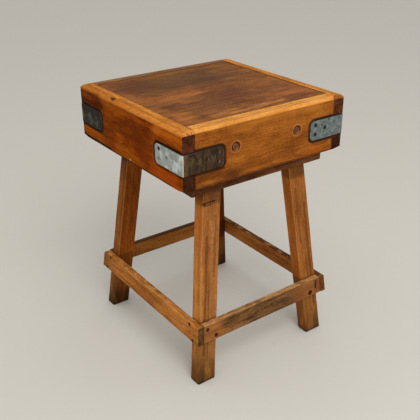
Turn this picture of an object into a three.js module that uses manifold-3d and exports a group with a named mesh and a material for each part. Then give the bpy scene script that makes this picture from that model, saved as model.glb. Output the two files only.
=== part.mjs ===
// A butcher block table. A thick block of staves, framed by four boards and held at its corners by steel
// straps, lies on a stand of two bearers, four splayed legs and four stretchers screwed to the legs.
// Millimetres, +Z up, the floor at Z = 0, the front towards -Y. The origin is below the block's centre.
// Most pieces are built once, at the right or the back, and their mirror images are made by the mesh's scale.
import * as THREE from "three";
import { mergeVertices } from "three/addons/utils/BufferGeometryUtils.js";
import Module from "manifold-3d";

const tableHeight = 864;

// The clearance between pieces that lie against each other, and how far a cut runs past a face.
const fitGap = 0.3;
const overrun = 20;

// The block and its frame of four boards. The side boards run the full depth.
const blockWidth = 610;
const blockDepth = 601;
const blockHeight = 177;
const frameThickness = 41;
const topChamfer = 12;
const baseChamfer = 4;
const blockCornerRadius = 8;

// The staves inside the frame run from side to side. Years of scraping have sunk their tops a little.
const staveCount = 9;
const staveDrop = 1.5;

// Two bolts pull the staves and the end boards together, each with its ends in counterbores. The insets run
// from the block's sides to the bolts.
const leftTieBoltInset = 182;
const rightTieBoltInset = 195;
const tieBoltDrop = 78;
const tieBoltRadius = 5;
const tieBoltPlay = 0.5;
const tieBoltStub = 3;
const tieBoltHeadHeight = 6.5;
const nutAcrossFlats = 17;
const nutHeight = 8;
const washerRadius = 13;
const washerThickness = 2.5;
const counterboreRadius = 15;
const counterboreDepth = 14;

// A steel strap lies in a shallow housing round each corner of the block.
const strapReach = 141;
const strapHeight = 65;
const strapDrop = 95;
const strapThickness = 5;
const strapProud = 1;
const strapInnerRadius = 4;
const strapEndRadius = 16;
const strapHousingGap = 2.2;
const strapScrewEndMargin = 22;
const strapScrewInnerMargin = 62;
const strapScrewSpread = 32;
const strapScrewLength = 32;
const strapScrewSink = 0.8;

// The stand lies a little to the right of the block's middle.
const standOffset = 5;

// Bearers lie flat under the front and the back of the block.
const bearerLength = 505;
const bearerWidth = 95;
const bearerThickness = 42;
const bearerSetback = 40;
const bearerArris = 3;

// The legs splay both ways. Their sides are measured level, and the runs are the foot's way out from the
// bearer's underside to the floor. The overhang is from the bearer's end to the leg, and the reveal is from
// its outer face.
const legWidth = 67;
const legDepth = 45;
const legArris = 4;
const legOverhang = 51.5;
const legReveal = 20;
const legRunX = 70;
const legRunY = 63.5;
const tenonLength = 15;
const tenonShoulder = 8;
const tenonArris = 1;

// Stretchers are screwed to the outsides of the legs. The front and back ones end against the side ones.
const stretcherHeight = 62;
const stretcherThickness = 22;
const stretcherClearHeight = 158.5;
const stretcherArris = 2.5;
const stretcherEndGap = 1;

// Each stretcher has two screws at a leg, set on a slant. The insets run from the leg's faces to the middle
// of the pair, and the web is the wood between the side stretchers' screws and the others.
const stretcherScrewLength = 52;
const stretcherScrewRise = 15;
const stretcherScrewWeb = 3;
const endScrewInset = 32;
const endScrewSpread = 34;
const sideScrewInset = 17.5;
const sideScrewSpread = 18;

// Countersunk wood screws.
const screwHeadRadius = 5.5;
const screwHeadHeight = 3.2;
const screwShankRadius = 2.7;
const screwPointLength = 6;
const screwSlotWidth = 1.3;
const screwSlotDepth = 1.2;

// Coach screws hold the legs to the bearers, from above, and the bearers to the block, from below.
const coachShankRadius = 4;
const coachPointLength = 8;
const coachHeadAcrossFlats = 13;
const coachHeadHeight = 5.5;
const coachPocketRadius = 11;
const coachPocketDepth = 8;
const legCoachReach = 50;
const blockCoachReach = 45;
const blockCoachSpacing = 180;

// Numbers of flat faces on round shapes.
const screwSides = 12;
const boreSides = 20;
const hexSides = 6;
const cornerSteps = 3;

const wasm = await Module();
wasm.setup();

const axisX = new THREE.Vector3(1, 0, 0);
const axisY = new THREE.Vector3(0, 1, 0);
const axisZ = new THREE.Vector3(0, 0, 1);
const axisDown = new THREE.Vector3(0, 0, -1);
const turnAlongX = new THREE.Matrix4().makeBasis(axisY, axisZ, axisX);
const turnAlongY = new THREE.Matrix4().makeBasis(axisX, axisZ, axisY.clone().negate());
const sides = [
  ["left", -1],
  ["right", 1],
];
const ends = [
  ["front", -1],
  ["back", 1],
];

// Heights and places that follow from the sizes.
const blockBase = tableHeight - blockHeight;
const bearerUnderside = blockBase - fitGap - bearerThickness;
const bearerFaceY = blockDepth / 2 - bearerSetback;
const bearerMiddleY = bearerFaceY - bearerWidth / 2;
const legSlopeX = legRunX / bearerUnderside;
const legSlopeY = legRunY / bearerUnderside;
const coreWidth = blockWidth - 2 * frameThickness;
const coreDepth = blockDepth - 2 * frameThickness;
const tieBoltHeight = tableHeight - tieBoltDrop;
const strapMiddle = tableHeight - strapDrop;
const stretcherMiddle = stretcherClearHeight + stretcherHeight / 2;

// The x of a right leg's outer face at a height.
function legFaceX(height) {
  return bearerLength / 2 - legOverhang + legSlopeX * (bearerUnderside - height);
}

// The y of a back leg's outer face at a height.
function legFaceY(height) {
  return bearerFaceY - legReveal + legSlopeY * (bearerUnderside - height);
}

// A geometry with nothing but its places, and each corner kept once.
function merged(geometry) {
  const surface = geometry.clone();
  surface.deleteAttribute("normal");
  surface.deleteAttribute("uv");
  return mergeVertices(surface);
}

// A closed geometry as a solid that can be joined and cut.
function solidOf(geometry) {
  const surface = merged(geometry);
  const vertProperties = surface.attributes.position.array;
  const triVerts = new Uint32Array(surface.index.array);
  return new wasm.Manifold(new wasm.Mesh({ numProp: 3, vertProperties, triVerts }));
}

// A solid as a geometry that a mesh can show.
function geometryOf(solid) {
  const { vertProperties, triVerts } = solid.getMesh();
  const geometry = new THREE.BufferGeometry();
  geometry.setAttribute("position", new THREE.BufferAttribute(new Float32Array(vertProperties), 3));
  geometry.setIndex(new THREE.BufferAttribute(new Uint32Array(triVerts), 1));
  geometry.computeVertexNormals();
  return geometry;
}

// A solid less some geometries.
function cut(solid, cutters) {
  return cutters.reduce((rest, cutter) => rest.subtract(solidOf(cutter)), solid);
}

// A geometry's mirror image, with its faces turned to point outwards again.
function mirrored(geometry, signX, signY) {
  const copy = merged(geometry).scale(signX, signY, 1);
  if (signX * signY < 0) {
    const corners = copy.index.array;
    for (let i = 0; i < corners.length; i += 3) {
      [corners[i + 1], corners[i + 2]] = [corners[i + 2], corners[i + 1]];
    }
  }
  return copy;
}

// Geometries and their mirror images.
function withMirrored(geometries, signX, signY) {
  return geometries.flatMap((geometry) => [geometry, mirrored(geometry, signX, signY)]);
}

// An upright box between two corners.
function boxBetween(low, high) {
  const size = new THREE.Vector3().subVectors(high, low);
  const middle = new THREE.Vector3().addVectors(low, high).divideScalar(2);
  return new THREE.BoxGeometry(size.x, size.y, size.z).translate(middle.x, middle.y, middle.z);
}

// A rectangle about the origin with its corners cut off at 45 degrees.
function easedRectangle(width, height, ease) {
  const x = width / 2;
  const y = height / 2;
  return new THREE.Shape([
    new THREE.Vector2(-x + ease, -y),
    new THREE.Vector2(x - ease, -y),
    new THREE.Vector2(x, -y + ease),
    new THREE.Vector2(x, y - ease),
    new THREE.Vector2(x - ease, y),
    new THREE.Vector2(-x + ease, y),
    new THREE.Vector2(-x, y - ease),
    new THREE.Vector2(-x, -y + ease),
  ]);
}

// A rectangle between two corners, rounded.
function roundedRectangle(lowX, lowY, highX, highY, radius) {
  const shape = new THREE.Shape();
  shape.moveTo(lowX + radius, lowY);
  shape.absarc(highX - radius, lowY + radius, radius, -Math.PI / 2, 0);
  shape.absarc(highX - radius, highY - radius, radius, 0, Math.PI / 2);
  shape.absarc(lowX + radius, highY - radius, radius, Math.PI / 2, Math.PI);
  shape.absarc(lowX + radius, lowY + radius, radius, Math.PI, 1.5 * Math.PI);
  return shape;
}

// An outline drawn out to a length, half of it on each side of the plane that it is drawn in.
function drawnOut(shape, length, turn = new THREE.Matrix4()) {
  const options = { depth: length, bevelEnabled: false, curveSegments: cornerSteps };
  return new THREE.ExtrudeGeometry(shape, options).translate(0, 0, -length / 2).applyMatrix4(turn);
}

// A shape turned so that its +Y points along a direction, with its origin at a point.
function aimed(geometry, point, direction) {
  const turn = new THREE.Quaternion().setFromUnitVectors(axisY, direction.clone().normalize());
  return geometry.clone().applyQuaternion(turn).translate(point.x, point.y, point.z);
}

function hexagonGeometry(acrossFlats, height) {
  const radius = acrossFlats / Math.sqrt(3);
  return new THREE.CylinderGeometry(radius, radius, height, hexSides);
}

// The space of a round hole with a wider mouth, which opens towards +Y at the origin.
function boreGeometry(radius, length, mouthRadius, mouthDepth) {
  const profile = [
    new THREE.Vector2(0, -length),
    new THREE.Vector2(radius, -length),
    new THREE.Vector2(radius, -mouthDepth),
    new THREE.Vector2(mouthRadius, -mouthDepth),
    new THREE.Vector2(mouthRadius, overrun),
    new THREE.Vector2(0, overrun),
  ];
  return new THREE.LatheGeometry(profile, boreSides);
}

// A countersunk screw that points down -Y, with the top of its head at the origin.
function screwGeometry(length) {
  const profile = [
    new THREE.Vector2(0, -length),
    new THREE.Vector2(screwShankRadius, -length + screwPointLength),
    new THREE.Vector2(screwShankRadius, -screwHeadHeight),
    new THREE.Vector2(screwHeadRadius, 0),
    new THREE.Vector2(0, 0),
  ];
  const slot = new THREE.BoxGeometry(2 * screwHeadRadius + overrun, 2 * screwSlotDepth, screwSlotWidth);
  return geometryOf(cut(solidOf(new THREE.LatheGeometry(profile, screwSides)), [slot]));
}

// The space that such a screw needs, open above its head.
function screwHoleGeometry(length) {
  const profile = [
    new THREE.Vector2(0, -length - fitGap),
    new THREE.Vector2(screwShankRadius + fitGap, -length + screwPointLength - fitGap),
    new THREE.Vector2(screwShankRadius + fitGap, -screwHeadHeight - fitGap),
    new THREE.Vector2(screwHeadRadius + fitGap, 0),
    new THREE.Vector2(screwHeadRadius + fitGap, overrun),
    new THREE.Vector2(0, overrun),
  ];
  return new THREE.LatheGeometry(profile, screwSides);
}

// A coach screw that points down -Y, with the underside of its hexagon head at the origin.
function coachScrewGeometry(length) {
  const profile = [
    new THREE.Vector2(0, -length),
    new THREE.Vector2(coachShankRadius, -length + coachPointLength),
    new THREE.Vector2(coachShankRadius, coachHeadHeight / 2),
    new THREE.Vector2(0, coachHeadHeight / 2),
  ];
  const head = hexagonGeometry(coachHeadAcrossFlats, coachHeadHeight).translate(0, coachHeadHeight / 2, 0);
  return geometryOf(solidOf(new THREE.LatheGeometry(profile, screwSides)).add(solidOf(head)));
}

// The space that such a screw needs, with the mouth of its head's pocket at the origin.
function coachHoleGeometry(length) {
  const depth = coachPocketDepth + length + fitGap;
  return boreGeometry(coachShankRadius + fitGap, depth, coachPocketRadius, coachPocketDepth);
}

// The block's outside: round upright corners, a chamfer along the top and a small one along the base.
function blockEnvelope() {
  const x = blockWidth / 2;
  const y = blockDepth / 2;
  const profile = (half) =>
    new THREE.Shape([
      new THREE.Vector2(-half + baseChamfer, blockBase),
      new THREE.Vector2(half - baseChamfer, blockBase),
      new THREE.Vector2(half, blockBase + baseChamfer),
      new THREE.Vector2(half, tableHeight - topChamfer),
      new THREE.Vector2(half - topChamfer, tableHeight),
      new THREE.Vector2(-half + topChamfer, tableHeight),
      new THREE.Vector2(-half, tableHeight - topChamfer),
      new THREE.Vector2(-half, blockBase + baseChamfer),
    ]);
  const upright = drawnOut(roundedRectangle(-x, -y, x, y, blockCornerRadius), 2 * tableHeight);
  const seenFromRight = drawnOut(profile(y), blockWidth + overrun, turnAlongX);
  const seenFromFront = drawnOut(profile(x), blockDepth + overrun, turnAlongY);
  return solidOf(upright).intersect(solidOf(seenFromRight)).intersect(solidOf(seenFromFront));
}

// The corner bend of the right back strap, seen from above, and its two arms up to a gap past their ends.
// Its inner side is moved inwards by the seat.
function strapOutline(edgeGap, seat, thickness) {
  const innerX = blockWidth / 2 + strapProud - strapThickness - seat;
  const innerY = blockDepth / 2 + strapProud - strapThickness - seat;
  const innerRadius = strapInnerRadius - seat;
  const bendX = innerX - innerRadius;
  const bendY = innerY - innerRadius;
  const endX = blockWidth / 2 - strapReach - edgeGap;
  const endY = blockDepth / 2 - strapReach - edgeGap;
  const outline = new THREE.Shape();
  outline.moveTo(innerX, endY);
  outline.lineTo(innerX + thickness, endY);
  outline.absarc(bendX, bendY, innerRadius + thickness, 0, Math.PI / 2);
  outline.lineTo(endX, innerY + thickness);
  outline.lineTo(endX, innerY);
  outline.absarc(bendX, bendY, innerRadius, Math.PI / 2, 0, true);
  return outline;
}

// The right back strap with round ends, or the space of its housing, with a gap round all its edges.
function strapSolid(edgeGap, seat, thickness) {
  const height = strapHeight + 2 * edgeGap;
  const low = strapMiddle - height / 2;
  const high = strapMiddle + height / 2;
  const radius = strapEndRadius + edgeGap;
  const endX = blockWidth / 2 - strapReach - edgeGap;
  const endY = blockDepth / 2 - strapReach - edgeGap;
  const bent = drawnOut(strapOutline(edgeGap, seat, thickness), height).translate(0, 0, strapMiddle);
  const seenFromFront = roundedRectangle(endX, low, blockWidth, high, radius);
  const seenFromRight = roundedRectangle(endY, low, blockDepth, high, radius);
  return solidOf(bent)
    .intersect(solidOf(drawnOut(seenFromFront, 2 * blockDepth, turnAlongY)))
    .intersect(solidOf(drawnOut(seenFromRight, 2 * blockWidth, turnAlongX)));
}

// The strap's screws. Each arm has two near its end, one above the other, and one further in.
function strapScrewPlaces() {
  const faceX = blockWidth / 2 + strapProud - strapScrewSink;
  const faceY = blockDepth / 2 + strapProud - strapScrewSink;
  const endX = blockWidth / 2 - strapReach;
  const endY = blockDepth / 2 - strapReach;
  const pattern = [
    [strapScrewEndMargin, strapScrewSpread / 2],
    [strapScrewEndMargin, -strapScrewSpread / 2],
    [strapScrewInnerMargin, 0],
  ];
  return pattern.flatMap(([margin, rise]) => [
    { point: new THREE.Vector3(faceX, endY + margin, strapMiddle + rise), direction: axisX },
    { point: new THREE.Vector3(endX + margin, faceY, strapMiddle + rise), direction: axisY },
  ]);
}

// The strap with its screws driven home, each head a little below the strap's face.
function strapGeometry() {
  const places = strapScrewPlaces();
  const screw = screwGeometry(strapScrewLength);
  const recess = new THREE.CylinderGeometry(screwHeadRadius, screwHeadRadius, overrun, screwSides);
  recess.translate(0, overrun / 2, 0);
  const recesses = places.map(({ point, direction }) => aimed(recess, point, direction));
  const screws = places.map(({ point, direction }) => aimed(screw, point, direction));
  const plate = cut(strapSolid(0, 0, strapThickness), recesses);
  return geometryOf(screws.reduce((whole, one) => whole.add(solidOf(one)), plate));
}

// What the right back strap takes out of the boards: its housing and the holes of its screws.
function strapCuts() {
  const housing = geometryOf(strapSolid(strapHousingGap, fitGap, strapThickness + overrun));
  const hole = screwHoleGeometry(strapScrewLength);
  return [housing, ...strapScrewPlaces().map(({ point, direction }) => aimed(hole, point, direction))];
}

// The side and the x of each tie bolt.
function tieBoltPlaces() {
  return [
    ["left", -blockWidth / 2 + leftTieBoltInset],
    ["right", blockWidth / 2 - rightTieBoltInset],
  ];
}

function tieBoltHoles() {
  const hole = boreGeometry(tieBoltRadius + tieBoltPlay, blockDepth, counterboreRadius, counterboreDepth);
  return tieBoltPlaces().flatMap(([, x]) =>
    ends.map(([, sign]) => {
      const mouth = new THREE.Vector3(x, (sign * blockDepth) / 2, tieBoltHeight);
      return aimed(hole, mouth, axisY.clone().multiplyScalar(sign));
    }),
  );
}

// Where the right back coach screw goes up through the bearer, at the mouth of its pocket.
function blockCoachMouth() {
  return new THREE.Vector3(blockCoachSpacing / 2, bearerMiddleY, bearerUnderside);
}

function blockCoachLength() {
  return bearerThickness - coachPocketDepth + fitGap + blockCoachReach;
}

function blockCoachHole() {
  return aimed(coachHoleGeometry(blockCoachLength()), blockCoachMouth(), axisDown);
}

// The holes of the four coach screws in the block.
function blockCoachHoles() {
  const holes = withMirrored(withMirrored([blockCoachHole()], -1, 1), 1, -1);
  return holes.map((hole) => hole.translate(standOffset, 0, 0));
}

// Where the right back coach screw goes down through the bearer into the leg, at the mouth of its pocket.
// Half way down its reach it is in the middle of the leg.
function legCoachMouth() {
  const half = bearerUnderside - legCoachReach / 2;
  const x = legFaceX(half) - legWidth / 2;
  const y = legFaceY(half) - legDepth / 2;
  return new THREE.Vector3(x, y, bearerUnderside + bearerThickness);
}

function legCoachLength() {
  return bearerThickness - coachPocketDepth + legCoachReach;
}

function legCoachHole() {
  return aimed(coachHoleGeometry(legCoachLength()), legCoachMouth(), axisZ);
}

// A coach screw whose head lies on the floor of its pocket.
function coachScrewIn(mouth, direction, length) {
  const seat = mouth.clone().addScaledVector(direction, fitGap - coachPocketDepth);
  return aimed(coachScrewGeometry(length), seat, direction);
}

// The right side board, which runs from front to back.
function sideBoardGeometry(envelope) {
  const board = boxBetween(
    new THREE.Vector3(blockWidth / 2 - frameThickness, -blockDepth, 0),
    new THREE.Vector3(blockWidth, blockDepth, 2 * tableHeight),
  );
  return geometryOf(cut(solidOf(board).intersect(envelope), withMirrored(strapCuts(), 1, -1)));
}

// The back end board, which fits between the side boards.
function endBoardGeometry(envelope) {
  const half = coreWidth / 2 - fitGap;
  const board = boxBetween(
    new THREE.Vector3(-half, blockDepth / 2 - frameThickness, 0),
    new THREE.Vector3(half, blockDepth, 2 * tableHeight),
  );
  const cutters = [...withMirrored(strapCuts(), -1, 1), ...tieBoltHoles()];
  return geometryOf(cut(solidOf(board).intersect(envelope), cutters));
}

// One stave, counted from the front.
function staveGeometry(number, cutters) {
  const pitch = coreDepth / staveCount;
  const half = coreWidth / 2 - fitGap;
  const front = -coreDepth / 2 + number * pitch;
  const stave = boxBetween(
    new THREE.Vector3(-half, front + fitGap / 2, blockBase),
    new THREE.Vector3(half, front + pitch - fitGap / 2, tableHeight - staveDrop),
  );
  return geometryOf(cut(solidOf(stave), cutters));
}

// The right back leg between two heights, with its section drawn in all round by an inset.
function legPrism(inset, arris, low, high) {
  const section = easedRectangle(legWidth - 2 * inset, legDepth - 2 * inset, arris);
  const lean = new THREE.Matrix4().makeShear(0, 0, 0, 0, -legSlopeX, -legSlopeY);
  return new THREE.ExtrudeGeometry(section, { depth: high - low, bevelEnabled: false })
    .applyMatrix4(lean)
    .translate(legFaceX(low) - legWidth / 2, legFaceY(low) - legDepth / 2, low);
}

// The back bearer, with a mortise for each leg and the holes of the coach screws.
function bearerGeometry() {
  const section = easedRectangle(bearerWidth, bearerThickness, bearerArris);
  const middle = bearerUnderside + bearerThickness / 2;
  const bearer = drawnOut(section, bearerLength, turnAlongX).translate(0, bearerMiddleY, middle);
  const mortiseTop = bearerUnderside + tenonLength + fitGap;
  const mortise = legPrism(tenonShoulder - fitGap, tenonArris, bearerUnderside - overrun, mortiseTop);
  return geometryOf(cut(solidOf(bearer), withMirrored([mortise, legCoachHole(), blockCoachHole()], -1, 1)));
}

// The right back leg with its tenon, and the holes for the screws that enter it.
function legGeometry() {
  const shoulder = bearerUnderside - fitGap;
  const post = legPrism(0, legArris, 0, shoulder);
  const tenon = legPrism(tenonShoulder, tenonArris, shoulder - tenonLength, bearerUnderside + tenonLength);
  const cutters = [...stretcherScrewHoles(true), ...stretcherScrewHoles(false), legCoachHole()];
  return geometryOf(cut(solidOf(post).add(solidOf(tenon)), cutters));
}

// The screws at the right back leg, with the direction out of each head. The side stretcher's lie further
// from its middle than the end stretcher's do, so that they pass inside the leg.
function stretcherScrewPlaces() {
  const sideRise = stretcherScrewRise + 2 * (screwShankRadius + fitGap) + stretcherScrewWeb;
  const cover = fitGap + stretcherThickness;
  const levels = [
    ["upper", 1],
    ["lower", -1],
  ];
  return levels.flatMap(([level, sign]) => {
    const sideZ = stretcherMiddle + sign * sideRise;
    const endZ = stretcherMiddle + sign * stretcherScrewRise;
    const sideY = legFaceY(sideZ) - sideScrewInset - (sign * sideScrewSpread) / 2;
    const endX = legFaceX(endZ) - endScrewInset + (sign * endScrewSpread) / 2;
    return [
      {
        name: "side_" + level,
        onSide: true,
        point: new THREE.Vector3(legFaceX(sideZ) + cover, sideY, sideZ),
        direction: new THREE.Vector3(1, 0, legSlopeX),
      },
      {
        name: "end_" + level,
        onSide: false,
        point: new THREE.Vector3(endX, legFaceY(endZ) + cover, endZ),
        direction: new THREE.Vector3(0, 1, legSlopeY),
      },
    ];
  });
}

// The holes of the screws at the right back leg that go through the side stretcher, or through the end one.
function stretcherScrewHoles(onSide) {
  const hole = screwHoleGeometry(stretcherScrewLength);
  return stretcherScrewPlaces()
    .filter((place) => place.onSide === onSide)
    .map(({ point, direction }) => aimed(hole, point, direction));
}

// A stretcher's blank, drawn along an axis, with a rule that moves each of its corners to its place. The
// rule gets the corner's side along the stretcher, its offset across it and its height.
function bentStretcher(turn, placeOf) {
  const section = easedRectangle(stretcherThickness, stretcherHeight, stretcherArris);
  const blank = merged(drawnOut(section, overrun, turn));
  const corners = blank.attributes.position;
  const corner = new THREE.Vector3();
  for (let i = 0; i < corners.count; i += 1) {
    placeOf(corner.fromBufferAttribute(corners, i));
    corners.setXYZ(i, corner.x, corner.y, corner.z);
  }
  return solidOf(blank);
}

// The right stretcher lies against the legs' outer sides, and ends flush with the end stretchers' faces.
function sideStretcherGeometry() {
  const stretcher = bentStretcher(turnAlongY, (corner) => {
    const z = stretcherMiddle + corner.z;
    const x = legFaceX(z) + fitGap + stretcherThickness / 2 + corner.x;
    const y = Math.sign(corner.y) * (legFaceY(z) + fitGap + stretcherThickness);
    corner.set(x, y, z);
  });
  return geometryOf(cut(stretcher, withMirrored(stretcherScrewHoles(true), 1, -1)));
}

// The back stretcher lies against the legs' backs, between the side stretchers.
function endStretcherGeometry() {
  const stretcher = bentStretcher(turnAlongX, (corner) => {
    const z = stretcherMiddle + corner.z;
    const x = Math.sign(corner.x) * (legFaceX(z) + fitGap - stretcherEndGap);
    const y = legFaceY(z) + fitGap + stretcherThickness / 2 + corner.y;
    corner.set(x, y, z);
  });
  return geometryOf(cut(stretcher, withMirrored(stretcherScrewHoles(false), -1, 1)));
}

const finishes = {
  frameWood: { color: 0xb8742f, roughness: 0.55, metalness: 0 },
  coreWood: { color: 0x6e4a2b, roughness: 0.6, metalness: 0 },
  standWood: { color: 0xb0713a, roughness: 0.65, metalness: 0 },
  bearerWood: { color: 0x6f4a2a, roughness: 0.75, metalness: 0 },
  strapSteel: { color: 0x98a3a3, roughness: 0.5, metalness: 0.8 },
  boltSteel: { color: 0x77726b, roughness: 0.45, metalness: 0.9 },
  screwSteel: { color: 0x4a4440, roughness: 0.5, metalness: 0.9 },
};

const block = new THREE.Group();
const stand = new THREE.Group();
const table = new THREE.Group();

// A named piece of the block or the stand, mirrored to the left or the front where a sign is negative.
function addPiece(group, name, geometry, finish, signX = 1, signY = 1) {
  const mesh = new THREE.Mesh(geometry, new THREE.MeshStandardMaterial(finish));
  mesh.name = name;
  mesh.scale.set(signX, signY, 1);
  group.add(mesh);
}

// A right and a left piece, made at the right.
function addAtSides(group, name, geometry, finish) {
  sides.forEach(([side, sign]) => addPiece(group, name + "_" + side, geometry, finish, sign, 1));
}

// A back and a front piece, made at the back.
function addAtEnds(group, name, geometry, finish) {
  ends.forEach(([end, sign]) => addPiece(group, name + "_" + end, geometry, finish, 1, sign));
}

// A piece at each of the four corners, made at the right back.
function addAtCorners(group, name, geometry, finish) {
  ends.forEach(([end, signY]) =>
    sides.forEach(([side, signX]) =>
      addPiece(group, name + "_" + end + "_" + side, geometry, finish, signX, signY),
    ),
  );
}

function addBoards() {
  const envelope = blockEnvelope();
  const drillings = [...tieBoltHoles(), ...blockCoachHoles()];
  addAtSides(block, "side_board", sideBoardGeometry(envelope), finishes.frameWood);
  addAtEnds(block, "end_board", endBoardGeometry(envelope), finishes.frameWood);
  for (let number = 0; number < staveCount; number += 1) {
    addPiece(block, "stave_" + (number + 1), staveGeometry(number, drillings), finishes.coreWood);
  }
}

// A disc or a nut with the tie bolt's hole through it, its middle at a place along the bolt.
function threadedOn(outside, middleY) {
  const radius = tieBoltRadius + fitGap;
  const hole = new THREE.CylinderGeometry(radius, radius, blockDepth, boreSides);
  return geometryOf(cut(solidOf(outside), [hole])).translate(0, middleY, tieBoltHeight);
}

// Each tie bolt has its head at the back and its nut at the front, and a washer under each.
function addTieBolts() {
  const washerSeat = blockDepth / 2 - counterboreDepth + fitGap;
  const headSeat = washerSeat + washerThickness + fitGap;
  const stubEnd = -headSeat - nutHeight - tieBoltStub;
  const shankEnd = headSeat + tieBoltHeadHeight / 2;
  const disc = new THREE.CylinderGeometry(washerRadius, washerRadius, washerThickness, boreSides);
  const washer = threadedOn(disc, washerSeat + washerThickness / 2);
  const nut = threadedOn(hexagonGeometry(nutAcrossFlats, nutHeight), headSeat + nutHeight / 2);
  const shank = new THREE.CylinderGeometry(tieBoltRadius, tieBoltRadius, shankEnd - stubEnd, boreSides);
  shank.translate(0, (shankEnd + stubEnd) / 2, 0);
  const head = hexagonGeometry(nutAcrossFlats, tieBoltHeadHeight).translate(0, shankEnd, 0);
  const bolt = geometryOf(solidOf(shank).add(solidOf(head))).translate(0, 0, tieBoltHeight);
  tieBoltPlaces().forEach(([side, x]) => {
    addPiece(block, "tie_bolt_" + side, bolt.clone().translate(x, 0, 0), finishes.boltSteel);
    addPiece(block, "tie_bolt_nut_" + side, nut.clone().translate(x, 0, 0), finishes.boltSteel, 1, -1);
    ends.forEach(([end, sign]) => {
      const name = "tie_bolt_washer_" + end + "_" + side;
      addPiece(block, name, washer.clone().translate(x, 0, 0), finishes.boltSteel, 1, sign);
    });
  });
}

function addStandWood() {
  addAtEnds(stand, "bearer", bearerGeometry(), finishes.bearerWood);
  addAtCorners(stand, "leg", legGeometry(), finishes.standWood);
  addAtSides(stand, "stretcher", sideStretcherGeometry(), finishes.standWood);
  addAtEnds(stand, "stretcher", endStretcherGeometry(), finishes.standWood);
}

function addStandScrews() {
  const screw = screwGeometry(stretcherScrewLength);
  const legCoach = coachScrewIn(legCoachMouth(), axisZ, legCoachLength());
  const blockCoach = coachScrewIn(blockCoachMouth(), axisDown, blockCoachLength());
  stretcherScrewPlaces().forEach(({ name, point, direction }) =>
    addAtCorners(stand, "stretcher_screw_" + name, aimed(screw, point, direction), finishes.screwSteel),
  );
  addAtCorners(stand, "leg_coach_screw", legCoach, finishes.screwSteel);
  addAtCorners(stand, "block_coach_screw", blockCoach, finishes.screwSteel);
}

addBoards();
addTieBolts();
addAtCorners(block, "corner_strap", strapGeometry(), finishes.strapSteel);
addStandWood();
addStandScrews();
stand.position.x = standOffset;
table.add(block, stand);

export default table;
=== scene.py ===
"""Dresses the butcher block table with fine meshes for its wood and steel, their finishes and a plain studio.

Lengths are in metres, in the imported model's own frame: +Z up, the floor at Z = 0, the front towards -Y.
Colours are written as they show on a screen, from 0 to 255.
"""

import logging
import math
from abc import ABC, abstractmethod
from contextlib import contextmanager
from dataclasses import dataclass, field, replace
from enum import Enum
from typing import Any, Callable, Iterator, Optional, Sequence, Union

import bmesh
import bpy
from mathutils import Matrix, Vector, noise


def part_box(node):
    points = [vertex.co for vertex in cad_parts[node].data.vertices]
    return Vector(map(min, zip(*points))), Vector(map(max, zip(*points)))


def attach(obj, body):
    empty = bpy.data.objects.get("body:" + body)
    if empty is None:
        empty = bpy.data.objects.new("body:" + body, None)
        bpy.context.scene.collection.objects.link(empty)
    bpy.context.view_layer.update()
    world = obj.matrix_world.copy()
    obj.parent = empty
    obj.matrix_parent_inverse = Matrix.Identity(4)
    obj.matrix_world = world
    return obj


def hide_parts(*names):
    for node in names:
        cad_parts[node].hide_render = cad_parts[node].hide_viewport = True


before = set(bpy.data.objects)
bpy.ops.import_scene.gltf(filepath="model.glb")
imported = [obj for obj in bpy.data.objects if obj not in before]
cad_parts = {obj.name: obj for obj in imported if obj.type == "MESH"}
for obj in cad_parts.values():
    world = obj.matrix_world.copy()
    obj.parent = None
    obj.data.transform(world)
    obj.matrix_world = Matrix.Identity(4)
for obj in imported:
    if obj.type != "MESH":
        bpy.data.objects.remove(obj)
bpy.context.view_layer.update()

log = logging.getLogger("butcher_block_table")

Colour = tuple[float, float, float]
Piece = bpy.types.Object
Test = Callable[[Any], bool]

ROOT = "root"
SAME_PLACE = 0.00002
OVERRUN = 0.02
SMOOTH_ANGLE = math.radians(33)
SCREEN_TOP = 255
GAMMA_KNEE = 0.04045

SIDES = {"left": -1, "right": 1}
ENDS = {"front": -1, "back": 1}


class Axis(Enum):
    """The three directions of the frame, as places in a vector."""

    X = 0
    Y = 1
    Z = 2

    @property
    def vector(self) -> Vector:
        """The unit vector along the axis."""
        return Vector([float(self.value == i) for i in range(3)])


class Element(Enum):
    """What an edit selects."""

    VERTEX = "VERT"
    EDGE = "EDGE"
    FACE = "FACE"


def screen(red: float, green: float, blue: float) -> Colour:
    """Turns a colour as it shows on a screen into the linear values that shaders use.

    Args:
        red: Red, from 0 to 255.
        green: Green, from 0 to 255.
        blue: Blue, from 0 to 255.

    Returns:
        The linear colour.
    """
    shares = [value / SCREEN_TOP for value in (red, green, blue)]
    return tuple(s / 12.92 if s < GAMMA_KNEE else ((s + 0.055) / 1.055) ** 2.4 for s in shares)


def select_only(*pieces: Piece) -> None:
    """Selects just these pieces, in object mode, and makes the first one active."""
    if bpy.context.mode != "OBJECT":
        bpy.ops.object.mode_set(mode="OBJECT")
    bpy.ops.object.select_all(action="DESELECT")
    for piece in pieces:
        piece.select_set(True)
    bpy.context.view_layer.objects.active = pieces[0]


@contextmanager
def editing(piece: Piece) -> Iterator[None]:
    """Opens a piece in edit mode with nothing selected, and closes it afterwards.

    Args:
        piece: The piece to edit.

    Yields:
        Nothing.
    """
    select_only(piece)
    bpy.ops.object.mode_set(mode="EDIT")
    bpy.ops.mesh.select_all(action="DESELECT")
    yield
    bpy.ops.object.mode_set(mode="OBJECT")


def open_mesh() -> bmesh.types.BMesh:
    """The mesh of the piece that is open in edit mode."""
    return bmesh.from_edit_mesh(bpy.context.active_object.data)


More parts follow.
